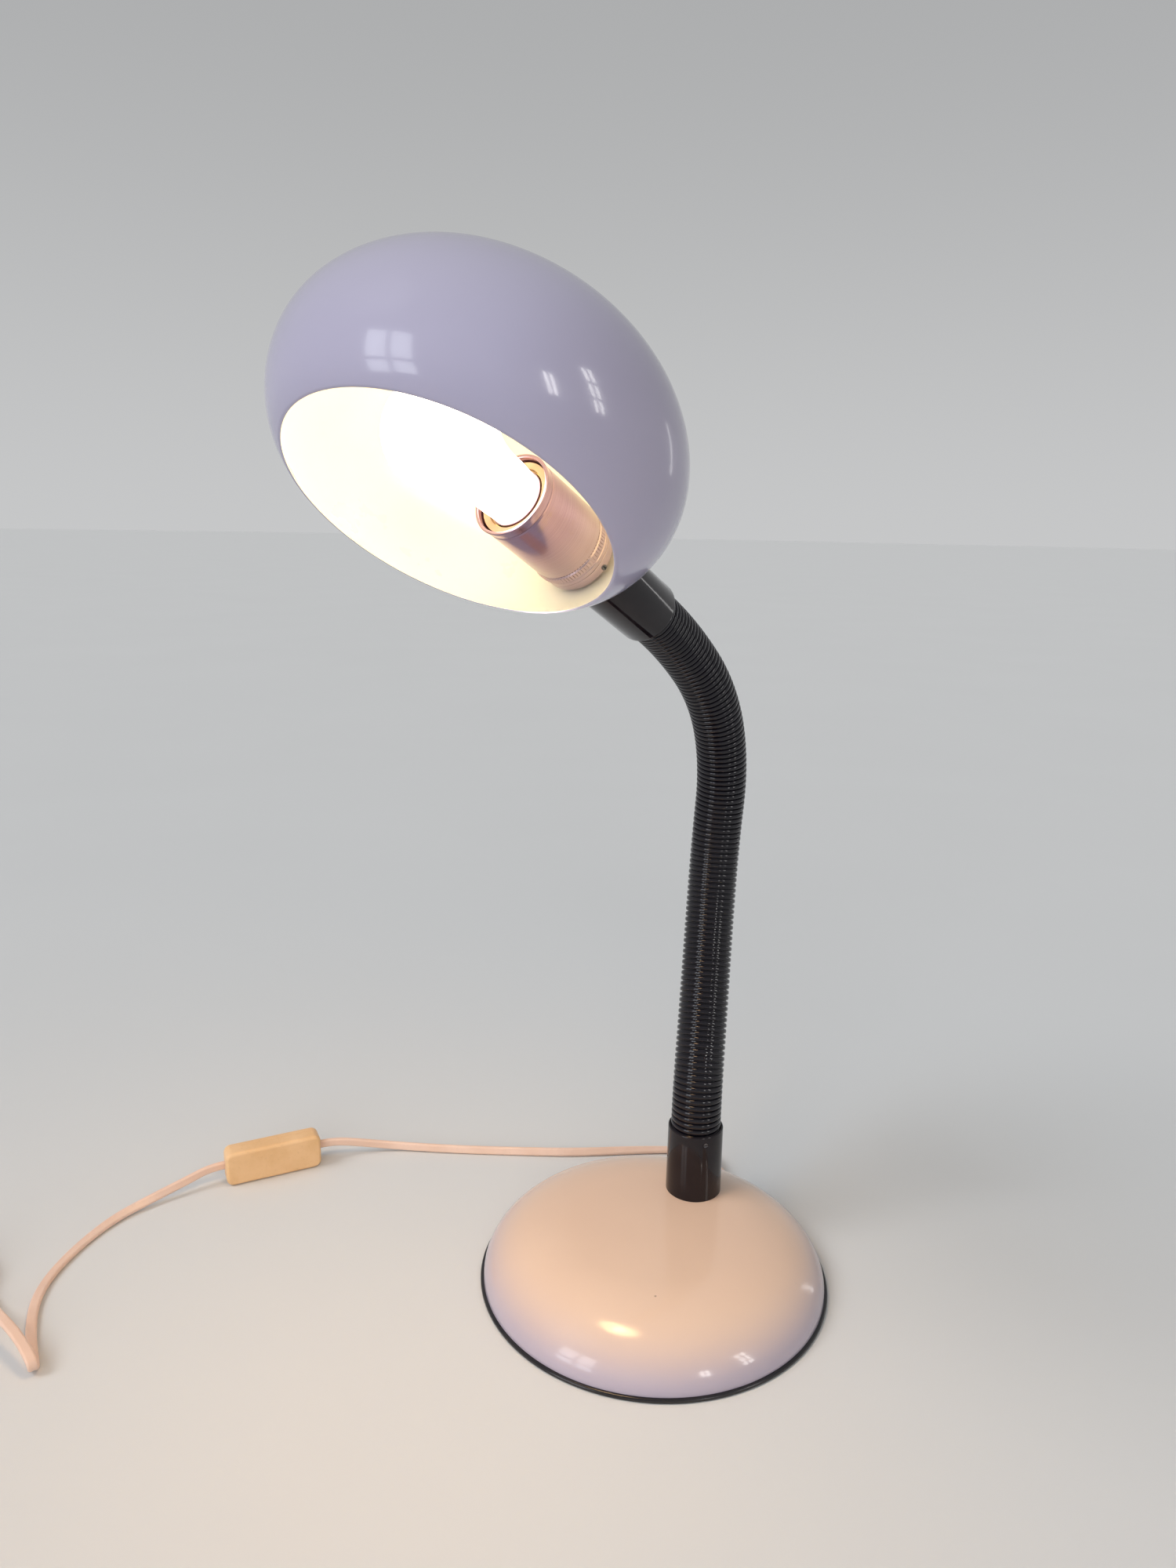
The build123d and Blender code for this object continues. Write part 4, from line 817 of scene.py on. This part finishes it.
section = flat_section()
cord_to_switch, switch_path = flex_along("cord_to_switch", ROUTE_TO_SWITCH, ON_EDGE_TO_SWITCH, section)
cord_to_plug, plug_path = flex_along("cord_to_plug", ROUTE_TO_PLUG, ON_EDGE_TO_PLUG, section)
bpy.data.objects.remove(section)
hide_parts("lead_to_switch")
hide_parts("lead_to_plug", "cord_coil")


def run_length(path):
    """The length of a cord's centreline."""
    return sum((after - before).length for before, after in zip(path, path[1:]))


# The tie: its width, its play beside and over the turns, its corners and its head, and how far
# the middle of the head lies to one side and over the turns
TIE_WIDTH = 2.5
TIE_PLAY = (0.15, 0.2)
TIE_CORNER = 1.4
TIE_HEAD = (4.4, 2.2, 4.0)
TIE_HEAD_ASIDE = 1.0
TIE_HEAD_RISE = 1.2
TIE_ANGLE = -22.0


def coil_tie():
    """A narrow cable tie around the wound section of the coil, with its head on top."""
    bm = bmesh.new()
    height = CORD_THICK * COIL_LAYERS / MM
    half_width = (COIL_STEP * 2 + CORD_WIDTH) / 2 / MM + TIE_PLAY[0]
    half_height = height / 2 + TIE_PLAY[1]
    bmesh.ops.create_grid(bm, x_segments=1, y_segments=1, size=1.0)
    bmesh.ops.scale(bm, vec=(half_width, half_height, 1.0), verts=list(bm.verts))
    moved(bm, Matrix.Translation((0.0, half_height + TIE_SHEET / MM, 0.0)))
    rounded(bm, list(bm.verts), TIE_CORNER, ROUNDING, "VERTICES")
    bmesh.ops.delete(bm, geom=list(bm.faces), context="FACES_ONLY")
    grown = bmesh.ops.extrude_edge_only(bm, edges=list(bm.edges))["geom"]
    rim = [item for item in grown if isinstance(item, bmesh.types.BMVert)]
    bmesh.ops.translate(bm, vec=(0.0, 0.0, TIE_WIDTH), verts=rim)
    facing_out(bm)
    bmesh.ops.solidify(bm, geom=list(bm.faces), thickness=-TIE_SHEET / MM * 0.95)
    head = block(bm, TIE_HEAD, (TIE_HEAD_ASIDE, height + TIE_HEAD_RISE, TIE_WIDTH / 2))
    rounded(bm, list({edge for vert in head for edge in vert.link_edges}), 0.4, 3)
    facing_out(bm)
    return bm


tie_place = Matrix.Translation((COIL_CENTRE + heading(TIE_ANGLE) * COIL_RADIUS) / MM)
tie_frame = tie_place @ (rotated(TIE_ANGLE, "Z") @ rotated(90, "X"))
tie = made(coil_tie(), "coil_tie", "black_plastic", "base", (), tie_frame)

# ---------- base

SHELL_RADIUS = 93.3
SHELL_HEIGHT = 29.8
SHELL_FLAT = 46.5
SHELL_SHEET = 1.2
TRIM_HEIGHT = 2.2
TRIM_INNER = 87.0
TRIM_OUTER = 95.0
TONGUE_OUTER = SHELL_RADIUS - SHELL_SHEET - 0.4
TONGUE_INNER = TONGUE_OUTER - 1.2
TONGUE_TOP = TRIM_HEIGHT + 2.6
SHOULDER_STEPS = 26
BASE_STEPS = 160


def shoulder(inset):
    """The base's outline from the middle of its top to its rim, set in by the sheet."""
    rise = SHELL_HEIGHT - inset - TRIM_HEIGHT
    reach = SHELL_RADIUS - inset - SHELL_FLAT
    turns = [pi / 2 * step / SHOULDER_STEPS for step in range(SHOULDER_STEPS + 1)]
    bend = [(SHELL_FLAT + reach * sin(turn), TRIM_HEIGHT + rise * cos(turn)) for turn in turns]
    return [(0.0, SHELL_HEIGHT - inset), (SHELL_FLAT * 0.5, SHELL_HEIGHT - inset), *bend]


enamel_base = turned([*shoulder(0.0), *reversed(shoulder(SHELL_SHEET))], BASE_STEPS)
base_seat = seat_of(enamel_base.copy(), Matrix.Translation((0.0, -FOOT_Y, 0.0)))
made(enamel_base, "enamel_base", "white_enamel", "base", ["base_shell"], Matrix())

trim_outline = [
    (TRIM_INNER, 0.0),
    (TRIM_OUTER, 0.0, 0.8),
    (TRIM_OUTER, TRIM_HEIGHT, 1.0),
    (TONGUE_OUTER, TRIM_HEIGHT),
    (TONGUE_OUTER, TONGUE_TOP),
    (TONGUE_INNER, TONGUE_TOP),
    (TONGUE_INNER, TRIM_HEIGHT),
    (TRIM_INNER, TRIM_HEIGHT),
]
made(turned(trim_outline, BASE_STEPS), "rubber_trim", "black_plastic", "base", ["base_trim"], Matrix())

# ---------- collars

COLLAR_BORE = 14.45
COLLAR_STEPS = 96
FOOT_START = 35.0
FOOT_COLLAR = 15.85
FOOT_COLLAR_TOP = 15.6
GRUB_ANGLE = -39.0
GRUB_HEIGHT = FOOT_TOP - 5.0
GRUB_HOLE = 1.45
# The drill starts inside the bore, goes straight for a way and then flares.
DRILL_START = 12.2
DRILL_WAY = 3.2
DRILL_FLARE = 0.6
DRILL_END = DRILL_WAY + DRILL_FLARE


def outward(angle, reach, height):
    """The frame of a hole or a screw that points straight out from Z at an angle."""
    place = heading(angle) * reach + UP * height
    return Matrix.Translation(place) @ rotated(angle, "Z") @ rotated(90, "Y")


def bored(bm, angle, height, radius):
    """A collar with a hole bored through its wall, countersunk a little."""
    flare = (radius + DRILL_FLARE, DRILL_END)
    drill = turned([(0.0, 0.0), (radius, 0.0), (radius, DRILL_WAY), flare, (0.0, DRILL_END)], 32)
    moved(drill, outward(angle, DRILL_START, height))
    return cut_out(bm, drill)


foot_outline = [
    (COLLAR_BORE, FOOT_START),
    (FOOT_COLLAR, FOOT_START),
    (FOOT_COLLAR_TOP, FOOT_TOP, 0.9),
    (COLLAR_BORE, FOOT_TOP, 0.3),
]
foot_frame = Matrix.Translation((0.0, FOOT_Y, 0.0))
foot_collar = turned(foot_outline, COLLAR_STEPS)
seated(foot_collar, FOOT_START, -1.0, base_seat)
foot_collar = bored(foot_collar, GRUB_ANGLE, GRUB_HEIGHT, GRUB_HOLE)
made(foot_collar, "foot_collar_ring", "gloss_black", "base", ["foot_collar"], foot_frame)

# ---------- ribbed neck

RIB_CREST = 14.15
RIB_GROOVE = 12.9
SLEEVE_BORE = 11.9
SLEEVE_SPLIT = 7
FOOT_TUCK = 1
HEAD_TUCK = 2
RIB_REACH = 0.43
RIB_POINTS = 10
RIB_FULLNESS = 0.6
NECK_STEPS = 56


def ribbed_outline(first_rib, last_rib):
    """Half the outline of a stretch of sleeve: rounded ribs outside and a plain bore."""
    outline = [(RIB_GROOVE, first_rib * RIB_PITCH)]
    for rib in range(first_rib, last_rib):
        for step in range(RIB_POINTS + 1):
            turn = pi * step / RIB_POINTS
            along = (rib + 0.5 - RIB_REACH * cos(turn)) * RIB_PITCH
            rise = (RIB_CREST - RIB_GROOVE) * abs(sin(turn)) ** RIB_FULLNESS
            outline.append((RIB_GROOVE + rise, along))
    outline.append((RIB_GROOVE, last_rib * RIB_PITCH))
    outline += [(SLEEVE_BORE, rib * RIB_PITCH) for rib in range(last_rib, first_rib - 1, -1)]
    return outline


def bent_to_neck(bm):
    """Bend a straight sleeve, drawn along Z, to the line of the neck."""
    stations = {}
    for vert in bm.verts:
        key = round(vert.co.z, 4)
        if key not in stations:
            stations[key] = station(vert.co.z)
        vert.co = stations[key] @ Vector((vert.co.x, vert.co.y, 0.0))


for joint in range(1, len(BENDS)):
    first_rib = (joint - 1) * RIBS_PER_SECTION + SLEEVE_SPLIT if joint > 1 else -FOOT_TUCK
    last_rib = joint * RIBS_PER_SECTION + SLEEVE_SPLIT
    if joint == len(BENDS) - 1:
        last_rib = len(BENDS) * RIBS_PER_SECTION + HEAD_TUCK
    ribbed = turned(ribbed_outline(first_rib, last_rib), NECK_STEPS)
    bent_to_neck(ribbed)
    sleeve = finished(ribbed, f"ribbed_sleeve_{joint}", "satin_black", Matrix())
    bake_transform(sleeve)
    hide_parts(f"neck_sleeve_{joint}")

# ---------- shade

SHADE_STEPS = 144
SHADE_SHEET = 1.0
WIDE = 87.0
CROWN = -59.5
CROWN_HANDLE = 0.745
SHOULDER_HANDLE = 0.388
MOUTH = 70.3
MOUTH_DEPTH = 34.5
MOUTH_HANDLE = 15.0
MOUTH_FLARE = 9.0
MOUTH_RISE = 6.0
MOUTH_SLOPE = 1.2
LIP_ROUNDING = 0.45


def globe_outline(inset):
    """The shade's curve from its crown, over its widest ring, in to its mouth, set in by its sheet."""
    wide = WIDE - inset
    crown = CROWN + inset
    mouth = MOUTH - inset * MOUTH_SLOPE
    widest = (wide, 0.0)
    shoulder_handle = (wide, crown * SHOULDER_HANDLE)
    mouth_handle = (mouth + MOUTH_FLARE, MOUTH_DEPTH - MOUTH_RISE)
    upper = curve_through((0.0, crown), (wide * CROWN_HANDLE, crown), shoulder_handle, widest, 40)
    lower = curve_through(widest, (wide, MOUTH_HANDLE), mouth_handle, (mouth, MOUTH_DEPTH), 22)
    return upper + lower[1:]


outside = globe_outline(0.0)
inside = globe_outline(SHADE_SHEET)
rim = [(*outside[-1], LIP_ROUNDING), (*inside[-1], LIP_ROUNDING)]
enamel_shade = turned([*outside[:-1], *rim, *reversed(inside[:-1])], SHADE_STEPS)
shade_skin = turned([*outside, (0.0, MOUTH_DEPTH)], SHADE_STEPS)
shade_seat = seat_of(shade_skin, neck_end.inverted() @ shade_frame)
shade_piece = made(enamel_shade, "enamel_shade", "white_enamel", "head", ["shade"], shade_frame)
shade_piece.data.materials.append(lining_enamel(holder_foot * MM).material)
for face in shade_piece.data.polygons:
    if face.normal.dot(face.center - shade_centre * MM) < 0:
        face.material_index = 1

HEAD_COLLAR = 16.2
HEAD_COLLAR_START = 4.4
HEAD_COLLAR_END = 34.0
head_outline = [
    (COLLAR_BORE, HEAD_COLLAR_START, 0.3),
    (HEAD_COLLAR, HEAD_COLLAR_START, 1.2),
    (HEAD_COLLAR, HEAD_COLLAR_END),
    (COLLAR_BORE, HEAD_COLLAR_END),
]
head_collar = turned(head_outline, COLLAR_STEPS)
seated(head_collar, HEAD_COLLAR_END, 1.0, shade_seat)
made(head_collar, "head_collar_ring", "gloss_black", "head", ["head_collar"], neck_end)

# ---------- lampholder and bulb

HOLDER_RADIUS = 18.6
HOLDER_BORE = 17.55
HOLDER_STEP = 70.0
LIP_RADIUS = 19.1
BEAD = HOLDER_RADIUS - 0.35
KNURL_BACK = 73.0
KNURL_FRONT = 77.0
KNURL_GROOVE = HOLDER_RADIUS - 0.4
KNURL_BAND = HOLDER_RADIUS + 0.05
KNURL_STEPS = 150
KNURL_DEPTH = 0.5

mantle_outline = [
    (HOLDER_BORE, HOLDER_STEP + 0.1),
    (HOLDER_RADIUS, HOLDER_STEP + 0.1, 0.3),
    (HOLDER_RADIUS, KNURL_BACK - 0.9, 0.1),
    (KNURL_GROOVE, KNURL_BACK - 0.6, 0.1),
    (KNURL_GROOVE, KNURL_BACK, 0.1),
    (KNURL_BAND, KNURL_BACK + 0.4, 0.1),
    (KNURL_BAND, KNURL_FRONT - 0.4, 0.1),
    (KNURL_GROOVE, KNURL_FRONT, 0.1),
    (KNURL_GROOVE, KNURL_FRONT + 0.6, 0.1),
    (HOLDER_RADIUS, KNURL_FRONT + 0.9, 0.1),
    (HOLDER_RADIUS, HOLDER_RIM - 5.4, 0.2),
    (BEAD, HOLDER_RIM - 5.0, 0.2),
    (BEAD, HOLDER_RIM - 4.6, 0.2),
    (HOLDER_RADIUS, HOLDER_RIM - 4.2, 0.2),
    (HOLDER_RADIUS, HOLDER_RIM - 1.3, 0.2),
    (LIP_RADIUS, HOLDER_RIM - 1.0, 0.2),
    (LIP_RADIUS, HOLDER_RIM, 0.4),
    (HOLDER_BORE, HOLDER_RIM, 0.4),
]
mantle = turned(mantle_outline, KNURL_STEPS)
for vert in mantle.verts:
    tooth = round(atan2(vert.co.y, vert.co.x) / (2 * pi) * KNURL_STEPS)
    on_band = KNURL_BACK + 0.2 < vert.co.z < KNURL_FRONT - 0.2
    if on_band and hypot(vert.co.x, vert.co.y) > HOLDER_RADIUS - 0.1 and tooth % 2:
        vert.co.xy *= 1 + KNURL_DEPTH / HOLDER_RADIUS
made(mantle, "holder_sleeve", "alloy", "head", ["holder_mantle"], neck_end)

# The cap's hole, its sheet, and the tongue on which the mantle sits
CAP_HOLE = 5.0
CAP_SHEET = 1.6
CAP_SHOULDER = 4.0
TONGUE = HOLDER_RADIUS - 1.1
TONGUE_BORE = HOLDER_RADIUS - 2.2
TONGUE_END = HOLDER_STEP + 7
cap_outline = [
    (CAP_HOLE, CAP_BACK),
    (HOLDER_RADIUS - CAP_SHOULDER, CAP_BACK, 1.5),
    (HOLDER_RADIUS, CAP_BACK + CAP_SHOULDER, 1.5),
    (HOLDER_RADIUS, HOLDER_STEP, 0.3),
    (TONGUE, HOLDER_STEP),
    (TONGUE, TONGUE_END),
    (TONGUE_BORE, TONGUE_END),
    (TONGUE_BORE, CAP_BACK + CAP_SHEET + 3),
    (HOLDER_RADIUS - 5, CAP_BACK + CAP_SHEET),
    (CAP_HOLE, CAP_BACK + CAP_SHEET),
]
made(turned(cap_outline, COLLAR_STEPS), "holder_back", "alloy", "head", ["holder_cap"], neck_end)

LOCK_SCREW = 1.3
SCREW_RISE = 0.5
SCREW_SUNK = 0.8
SLOT_HALF = 0.28
SLOT_DEPTH = 0.5


def slotted_head(radius, height):
    """A small round screw head with a slot cut across it."""
    bm = turned([(0.0, -SCREW_SUNK), (radius, -SCREW_SUNK), (radius, height, 0.25), (0.0, height)], 32)
    for side in (-1.0, 1.0):
        whole = bm.edges[:] + bm.faces[:] + bm.verts[:]
        where = (0.0, side * SLOT_HALF, 0.0)
        bmesh.ops.bisect_plane(bm, geom=whole, dist=1e-4, plane_co=where, plane_no=(0.0, 1.0, 0.0))
    for vert in bm.verts:
        if abs(vert.co.y) < SLOT_HALF / 2 and vert.co.z > height - 0.1:
            vert.co.z -= SLOT_DEPTH
    return bm


LOCK_SCREW_ALONG = 66.5
LOCK_SCREW_ANGLE = 336.0
screw_frame = neck_end @ outward(LOCK_SCREW_ANGLE, HOLDER_RADIUS, LOCK_SCREW_ALONG)
lock_screw = slotted_head(LOCK_SCREW, SCREW_RISE)
made(lock_screw, "holder_lock_screw", "spring_steel", "head", (), screw_frame)

GLASS_START = 114.5
GLASS_RISE = GLASS_START + 2.0
GLASS_NECK = 12.5
WAIST_HEIGHT = 128.0
BULB_RADIUS = 23.0
BULB_CENTRE = 163.5
BELLY_TURN = radians(33.0)
BALL_STEPS = 26
BULB_STEPS = 72
# How far the glass goes straight on from each end of its curves
FROM_NECK = 4.0
BELOW_WAIST = 6.0
ABOVE_WAIST = 8.0
BELOW_BELLY = 9.0
neck_start = (GLASS_NECK, GLASS_RISE)
neck_handle = (GLASS_NECK, GLASS_RISE + FROM_NECK)
waist = (GLASS_NECK + 0.5, WAIST_HEIGHT)
below_waist = (waist[0], WAIST_HEIGHT - BELOW_WAIST)
above_waist = (waist[0], WAIST_HEIGHT + ABOVE_WAIST)
belly = (BULB_RADIUS * cos(BELLY_TURN), BULB_CENTRE - BULB_RADIUS * sin(BELLY_TURN))
below_belly = (belly[0] - BELOW_BELLY * sin(BELLY_TURN), belly[1] - BELOW_BELLY * cos(BELLY_TURN))
turns = [(pi / 2 + BELLY_TURN) * step / BALL_STEPS - BELLY_TURN for step in range(1, BALL_STEPS)]
bulb_outline = [
    (0.0, GLASS_START),
    (GLASS_NECK, GLASS_START),
    *curve_through(neck_start, neck_handle, below_waist, waist, 8),
    *curve_through(waist, above_waist, below_belly, belly, 18)[1:],
    *[(BULB_RADIUS * cos(turn), BULB_CENTRE + BULB_RADIUS * sin(turn)) for turn in turns],
    (0.0, BULB_CENTRE + BULB_RADIUS),
]
made(turned(bulb_outline, BULB_STEPS), "lit_bulb", "bulb_glass", "bulb", ["bulb_glass"], neck_end)

# ---------- switch

SWITCH_WIDTH = 22.0
BLANK_DEPTH = -8.5
ROCKER_DEPTH = 6.5
BLANK_ROUNDING = 2.2
ROCKER_ROUNDING = 4.0
SWITCH_CORNER = 4.4
SWITCH_WALL = 2.0
SWITCH_END = 11.0
SEAM = 0.1
MOULD_STEPS = 7
ROCKER_OPENING = (16.95, 9.7)
RECESS_AT = 22.5
RECESS_RADIUS = 2.6
RECESS_DEPTH = 2.2
switch_side = switch_dir.cross(down)
switch_axes = Matrix((switch_dir, switch_side.cross(switch_dir), switch_side)).transposed()
switch_frame = Matrix.Translation(SWITCH_CENTRE / MM) @ switch_axes.to_4x4()


def slab(length, width, low, high):
    """A block that is centred along and across, between two heights."""
    bm = bmesh.new()
    block(bm, (length, width, high - low), (0.0, 0.0, (low + high) / 2))
    return bm


def switch_half(depth, rounding):
    """Half of the switch's case, moulded with round corners and a softly rounded face."""
    side = 1.0 if depth > 0 else -1.0
    bm = slab(SWITCH_LENGTH / MM, SWITCH_WIDTH, *sorted((depth, 0.0)))
    upright = [edge for edge in bm.edges if abs(edge.verts[0].co.z - edge.verts[1].co.z) > 1.0]
    rounded(bm, upright, SWITCH_CORNER, MOULD_STEPS)
    for height, offset, segments in ((depth, rounding, MOULD_STEPS), (0.0, 0.2, 2)):
        around = [edge for edge in bm.edges if all(abs(vert.co.z - height) < 1e-4 for vert in edge.verts)]
        rounded(bm, around, offset, segments)
    pocket = sorted((depth - side * SWITCH_WALL, -side * SEAM))
    length = SWITCH_LENGTH / MM - 2 * SWITCH_END
    return cut_out(bm, slab(length, SWITCH_WIDTH - 2 * SWITCH_WALL, *pocket))


def even_shading(piece):
    """Keep the wide faces of a moulding flat where they meet its rounded edges."""
    piece.modifiers.new("even_shading", "WEIGHTED_NORMAL").keep_sharp = True
    return piece


blank_half = switch_half(BLANK_DEPTH, BLANK_ROUNDING)
rocker_opening = slab(*ROCKER_OPENING, -SEAM, ROCKER_DEPTH + 1)
rocker_half = cut_out(switch_half(ROCKER_DEPTH, ROCKER_ROUNDING), rocker_opening)
for place in (-RECESS_AT, RECESS_AT):
    recess = turned([(0.0, 0.0), (RECESS_RADIUS, 0.0), (RECESS_RADIUS, 3.0), (0.0, 3.0)], 40)
    moved(recess, Matrix.Translation((place, 0.0, ROCKER_DEPTH - RECESS_DEPTH)))
    rocker_half = cut_out(rocker_half, recess)
switch_case = [
    even_shading(made(form, name, "cream_plastic", "base", [node], switch_frame))
    for form, name, node in (
        (blank_half, "switch_back", "switch_base"),
        (rocker_half, "switch_front", "switch_cover"),
    )
]

# ---------- plug

PLUG_LENGTH = 36.0
# The plug's width and thickness from its middle, at distances from the cord
PLUG_STATIONS = (
    (0.0, 2.9, 2.0), (3.0, 3.0, 2.1), (3.0, 2.5, 1.7), (4.2, 2.5, 1.7),
    (4.2, 3.2, 2.3), (7.0, 3.4, 2.5), (7.0, 2.7, 1.9), (8.2, 2.7, 1.9),
    (8.2, 4.4, 3.6), (12.0, 5.6, 4.0), (17.0, 8.8, 4.9), (22.0, 12.9, 6.0),
    (27.0, 16.3, 6.8), (31.0, 17.4, 7.0), (35.2, 17.5, 7.0), (PLUG_LENGTH, 16.7, 6.2),
)
PLUG_STEPS = 56
PLUG_SQUARENESS = 0.55
ROUND_UP_TO = 8.0
SQUARE_FROM = 24.0
PIN_ASIDE = 9.5
PIN_SLEEVE = (1.5, 1.95, -4.0, 10.0)


def plug_form():
    """The moulded plug: a ribbed relief at the cord that swells into a flat grip."""
    bm = bmesh.new()
    ring = bmesh.ops.create_circle(bm, cap_ends=False, segments=PLUG_STEPS, radius=1.0)["verts"]
    for vert in ring:
        for axis in (0, 1):
            size = abs(vert.co[axis]) ** PLUG_SQUARENESS
            vert.co[axis] = size if vert.co[axis] > 0 else -size
    edges = list(bm.edges)
    loops = [ring]
    for _ in PLUG_STATIONS[1:]:
        grown = bmesh.ops.extrude_edge_only(bm, edges=edges)["geom"]
        edges = [item for item in grown if isinstance(item, bmesh.types.BMEdge)]
        loops.append([item for item in grown if isinstance(item, bmesh.types.BMVert)])
    for loop, (along, wide, thick) in zip(loops, PLUG_STATIONS):
        squareness = max(0.0, min(1.0, (along - ROUND_UP_TO) / (SQUARE_FROM - ROUND_UP_TO)))
        for vert in loop:
            blended = vert.co.xy.normalized().lerp(vert.co.xy, squareness)
            vert.co = (along, blended.x * wide, blended.y * thick)
    bmesh.ops.holes_fill(bm, edges=[edge for edge in bm.edges if edge.is_boundary], sides=0)
    facing_out(bm)
    return bm


plug_frame = Matrix.Translation(plug_end / MM) @ Matrix.Rotation(atan2(tail_dir.y, tail_dir.x), 4, "Z")
plug = plug_form()
bore, radius, back, front = PIN_SLEEVE
for side in (-1.0, 1.0):
    pin_sleeve = turned([(bore, back), (radius, back), (radius, front, 0.1), (bore, front)], 28)
    moved(pin_sleeve, Matrix.Translation((PLUG_LENGTH, side * PIN_ASIDE, 0.0)) @ rotated(90, "Y"))
    holding = mesh_from(pin_sleeve, "pin_sleeve")
    plug.from_mesh(holding)
    bpy.data.meshes.remove(holding)
moulded_plug = made(plug, "moulded_plug", "cord_white", "base", ["plug_body"], plug_frame)

# ---------- finishes on the carried-over nodes

# The grub screw gets the dark blued finish, though it is of the same steel as the other screws: painted
# shade for the hole it sits down in.
slots["foot_grub_screw"] = "spring_steel"
for name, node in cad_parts.items():
    node.data.materials.append(finishes[slots[name]].material)

# ---------- lengths of the cords, worked out but not kept

round(run_length(switch_path), 3)
round(run_length(plug_path), 3)

# ---------- floor, light and air

# The point that the daylight and the windows face
MIDDLE = Vector((0.0, -0.05, 0.25))


def hung_lamp(name, kind, place, aim, strength, colour, unseen, **settings):
    """Hang a lamp at a place, facing a point, and keep it out of some kinds of ray."""
    lamp = bpy.data.lights.new(name, kind)
    lamp.energy = strength
    lamp.color = colour
    for setting, value in settings.items():
        setattr(lamp, setting, value)
    holder = added(name, lamp)
    holder.location = place
    holder.rotation_euler = (aim - place).to_track_quat("-Z", "Y").to_euler()
    for ray in unseen:
        setattr(holder, "visible_" + ray, False)
    return holder


def daylight(name, place, strength, spread, colour):
    """Soft even light from one side, which shows in no reflection."""
    hung_lamp(name, "SUN", Vector(place), MIDDLE, strength, colour, ["glossy"], angle=radians(spread))


def window(name, place, pane, panes, gap, brightness, colour):
    """A window that shows only in the gloss, as rows of panes with bars between them."""
    facing = (MIDDLE - Vector(place)).to_track_quat("-Z", "Y")
    sizes = {"shape": "RECTANGLE", "size": pane[0], "size_y": pane[1]}
    strength = brightness * pi * pane[0] * pane[1]
    for column in range(panes[0]):
        for row in range(panes[1]):
            aside = (column - (panes[0] - 1) / 2) * (pane[0] + gap)
            above = (row - (panes[1] - 1) / 2) * (pane[1] + gap)
            shift = facing @ Vector((aside, above, 0.0))
            label = f"{name}_{column}_{row}"
            where = Vector(place) + shift
            unseen = ["camera", "diffuse"]
            hung_lamp(label, "AREA", where, MIDDLE + shift, strength, colour, unseen, **sizes)


def shade_lamp(name, kind, place, strength, colour, unseen, **settings):
    """A lamp that the shade carries, facing the way the shade does."""
    hung = hung_lamp(name, kind, place, place + shade_dir, strength, colour, unseen, **settings)
    hung.parent = shade_piece


FLOOR_RADIUS = 30.0
FLOOR_GAP = 0.0001
floor_form = bmesh.new()
bmesh.ops.create_circle(floor_form, cap_ends=True, cap_tris=False, segments=96, radius=FLOOR_RADIUS)
floor = added("floor", mesh_from(floor_form, "floor"))
floor.location.z = -FLOOR_GAP
floor_finish = Finish("pale_floor", Roughness=0.8, Specular_IOR_Level=0.0)
floor_finish.colour(floor_finish.noise(3.0), (0.65, 0.655, 0.65), (0.67, 0.675, 0.67))
floor.data.materials.append(floor_finish.material)

# The air of the studio is as pale as the floor at the horizon and a little darker overhead.
world = bpy.data.worlds.new("studio")
scene.world = world
air = Shading(world)
direction = air.node("ShaderNodeTexCoord", output="Generated")
overhead = air.split(direction)[2].step(-0.05, 0.45)
paleness = air.mixed(overhead, (0.57, 0.575, 0.58), (0.41, 0.415, 0.42))
air.feed(air.nodes["Background"].inputs["Color"], paleness)

daylight("daylight", (-0.9, -1.3, 1.95), 1.32, 30.0, (0.96, 0.97, 1.0))
daylight("front_light", (0.6, -1.6, 0.75), 1.00, 40.0, (1.0, 0.98, 0.97))
window("front_window", (-0.64, -2.60, 0.54), (0.46, 0.92), (2, 2), 0.12, 4.2, (0.90, 0.94, 1.0))
window("side_window", (1.88, -0.98, 0.72), (0.07, 0.52), (2, 1), 0.05, 14.0, (1.0, 0.98, 0.95))
window("paned_window", (2.00, -0.03, 0.85), (0.08, 0.27), (2, 3), 0.06, 12.0, (1.0, 0.98, 0.95))
window("back_window", (1.07, 2.08, 0.45), (0.10, 0.80), (1, 1), 0.0, 3.0, (1.0, 0.98, 0.97))

# The lamp's own light, which falls out of the shade's mouth
GLOW_WIDTH = MOUTH * 2 * 0.85 * MM
mouth_middle = (shade_centre + shade_dir * MOUTH_DEPTH) * MM
glow_colour = (1.0, 0.56, 0.24)
shade_lamp("lamp_glow", "AREA", mouth_middle, 0.55, glow_colour, ["camera"], shape="DISK", size=GLOW_WIDTH)

# What the crown of the shade throws back behind the holder, where the bulb itself doesn't reach
behind_holder = (neck_end.translation + neck_dir * 76.0 + mouth_side * 44.0) * MM
glow_colour = (1.0, 0.86, 0.66)
unseen = ["camera", "glossy"]
shade_lamp("return_glow", "POINT", behind_holder, 0.05, glow_colour, unseen, shadow_soft_size=0.012)

scene.view_settings.view_transform = "Standard"
